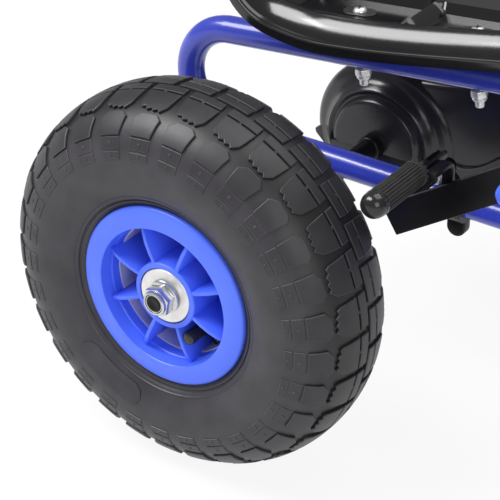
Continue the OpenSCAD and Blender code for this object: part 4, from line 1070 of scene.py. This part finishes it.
def makeStrap(axis):
    # channel through the sleeve, and a strip bent down behind the bar
    base = [(122.0, -186), (127.6, -186), (127.6, -153), (125.6, -148.6), (124.0, -148.6), (122.0, -153)]
    floor = plate("strapFloor", [spot(x, y, 214.2) for x, y in base], (0, 0, 0.0026))
    wall = [(-186, 213.6), (-186, 218.8), (-160, 218.8), (-154, 218.2), (-151.4, 216.9), (-152, 213.6)]
    walls = [plate("strapWall", [spot(x, y, z) for y, z in wall], (0.0012, 0, 0)) for x in (121.4, 126.6)]
    bend = [(-181, 217.1), (-163.5, 217.1), (-160.2, 216.3), (-157.6, 214.1), (-156.3, 210.7),
            (-156.2, 187.5), (-159.4, 187.5), (-159.4, 209.3), (-160.4, 211.7), (-162.0, 213.3),
            (-164.6, 213.9), (-181, 213.9)]
    strip = plate("strapStrip", [spot(128.4, y, z) for y, z in bend], (0.0077, 0, 0))
    for p in [floor, strip] + walls:
        softEdges(p, 0.0006)
    core = lathe("strapCore", [(0, -233.5), (3.8, -233.5), (3.8, -170), (0, -170)], axis, 28, unit=mm)
    strap = joinPieces([floor, strip, core] + walls, "brake_strap_look")
    dress(strap, "leverPaint", "brake", ("brake_strap",))


def makeBrake():
    axis = spot(brakeCut["x"], 0, brakeCut["z"])
    makeSleeve(axis)
    makeStrap(axis)
    makeLever()
    makeBracket()
    cap = easeNode("brake_cap", 0.0016, "rimPlastic")
    applyPlace(cap, Matrix.Translation((0.003, 0, 0.001)))
    easeNode("hand_grip", 0.0020)
    print("made brake")


makeBrake()

# drive: axle sleeve with its collar, chain links


def makeAxleSleeve():
    line = [(6.1, -96.6), (6.8, -96.6), (7.0, -96.2), (7.0, -36.2), (8.4, -36.0), (9.0, -35.2), (9.0, -29.4),
            (8.4, -28.7), (7.0, -28.5), (7.0, 4.4), (6.1, 4.4)]
    sleeve = lathe("axle_sleeve_look", line, spot(0, 0, axleUp), 48, True, unit=mm)
    dress(sleeve, "leverPaint", bodyOfNode["axle_sleeve"], ("axle_sleeve",))


makeAxleSleeve()

chainCut = dict(links=108, y=6, plate=0.9, inner=2.1, outer=3.2, half=6.35, roller=3.9)


def chainPath():
    # joints along the loop round both sprockets: x and z
    g, n = guardCut, chainCut["links"]
    cog, ring = g["cog"], g["ring"]
    lean = math.asin((ring - cog) / g["span"])
    tilt = math.radians(g["tilt"])
    up, down = tilt + lean + math.pi / 2, tilt - lean - math.pi / 2
    straight = g["span"] * math.cos(lean)
    small, large = cog * (math.pi - 2 * lean), ring * (math.pi + 2 * lean)
    total = 2 * straight + small + large
    points = []
    for k in range(n):
        run = total * k / n
        if run < straight:
            x = cog * math.cos(up) + run * math.cos(tilt + lean)
            z = axleUp + cog * math.sin(up) + run * math.sin(tilt + lean)
        elif run < straight + large:
            a = up - (run - straight) / ring
            x, z = crankAt[0] + ring * math.cos(a), crankAt[1] + ring * math.sin(a)
        elif run < 2 * straight + large:
            rest = run - straight - large
            x = crankAt[0] + ring * math.cos(down) - rest * math.cos(tilt - lean)
            z = crankAt[1] + ring * math.sin(down) - rest * math.sin(tilt - lean)
        else:
            a = down - (run - 2 * straight - large) / cog
            x, z = cog * math.cos(a), axleUp + cog * math.sin(a)
        points.append((x, z))
    return points


def makeChain():
    c = chainCut
    h = c["half"]
    joints = chainPath()
    shape = [(-h, -3.9), (-2.6, -3.0), (2.6, -3.0), (h, -3.9), (9.1, -2.8), (9.1, 2.8), (h, 3.9), (2.6, 3.0),
             (-2.6, 3.0), (-h, 3.9), (-9.1, 2.8), (-9.1, -2.8)]
    masters = []
    for side in (c["inner"], c["outer"]):
        sides = [plate("linkSide", [Vector((u, y, w)) * mm for u, w in shape], (0, c["plate"] * mm, 0))
                 for y in (side, -side - c["plate"])]
        bpy.ops.object.select_all(action="DESELECT")
        bpy.ops.mesh.primitive_cylinder_add(vertices=8, radius=c["roller"] * mm, depth=2 * side * mm,
                                            end_fill_type="NOTHING", location=(-h * mm, 0, 0),
                                            rotation=(math.pi / 2, 0, 0))
        roller = bpy.context.object
        bpy.ops.object.transform_apply()
        masters.append(joinPieces(sides + [roller], "linkMaster"))
    links = []
    for k, (x, z) in enumerate(joints):
        x1, z1 = joints[(k + 1) % len(joints)]
        lean = math.atan2(z1 - z, x1 - x)
        links.append(copyPiece(masters[k % 2], "chainLink", spot((x + x1) / 2, c["y"], (z + z1) / 2), -lean))
    for m in masters:
        bpy.data.objects.remove(m)
    dress(joinPieces(links, "chain_look"), "chainSteel", bodyOfNode["chain"], ("chain",))
    print("made chain")


makeChain()

# the rest keeps the CAD shape with its edges rounded
easedNodes = [
    dict(width=0.0008, names=("axle_brackets", "crank_brackets", "column_foot", "front_beam",
                              "guard_bracket")),
    dict(width=0.0007, names=("knuckle_right", "knuckle_left", "track_rod", "king_pins")),
    dict(width=0.0005, names=("crank", "chainring", "rear_sprocket")),
    dict(width=0.0012, names=("pedal_right", "pedal_left", "steering_wheel", "wheel_cap")),
]
for group in easedNodes:
    for name in group["names"]:
        easeNode(name, group["width"])
print("eased the other nodes")
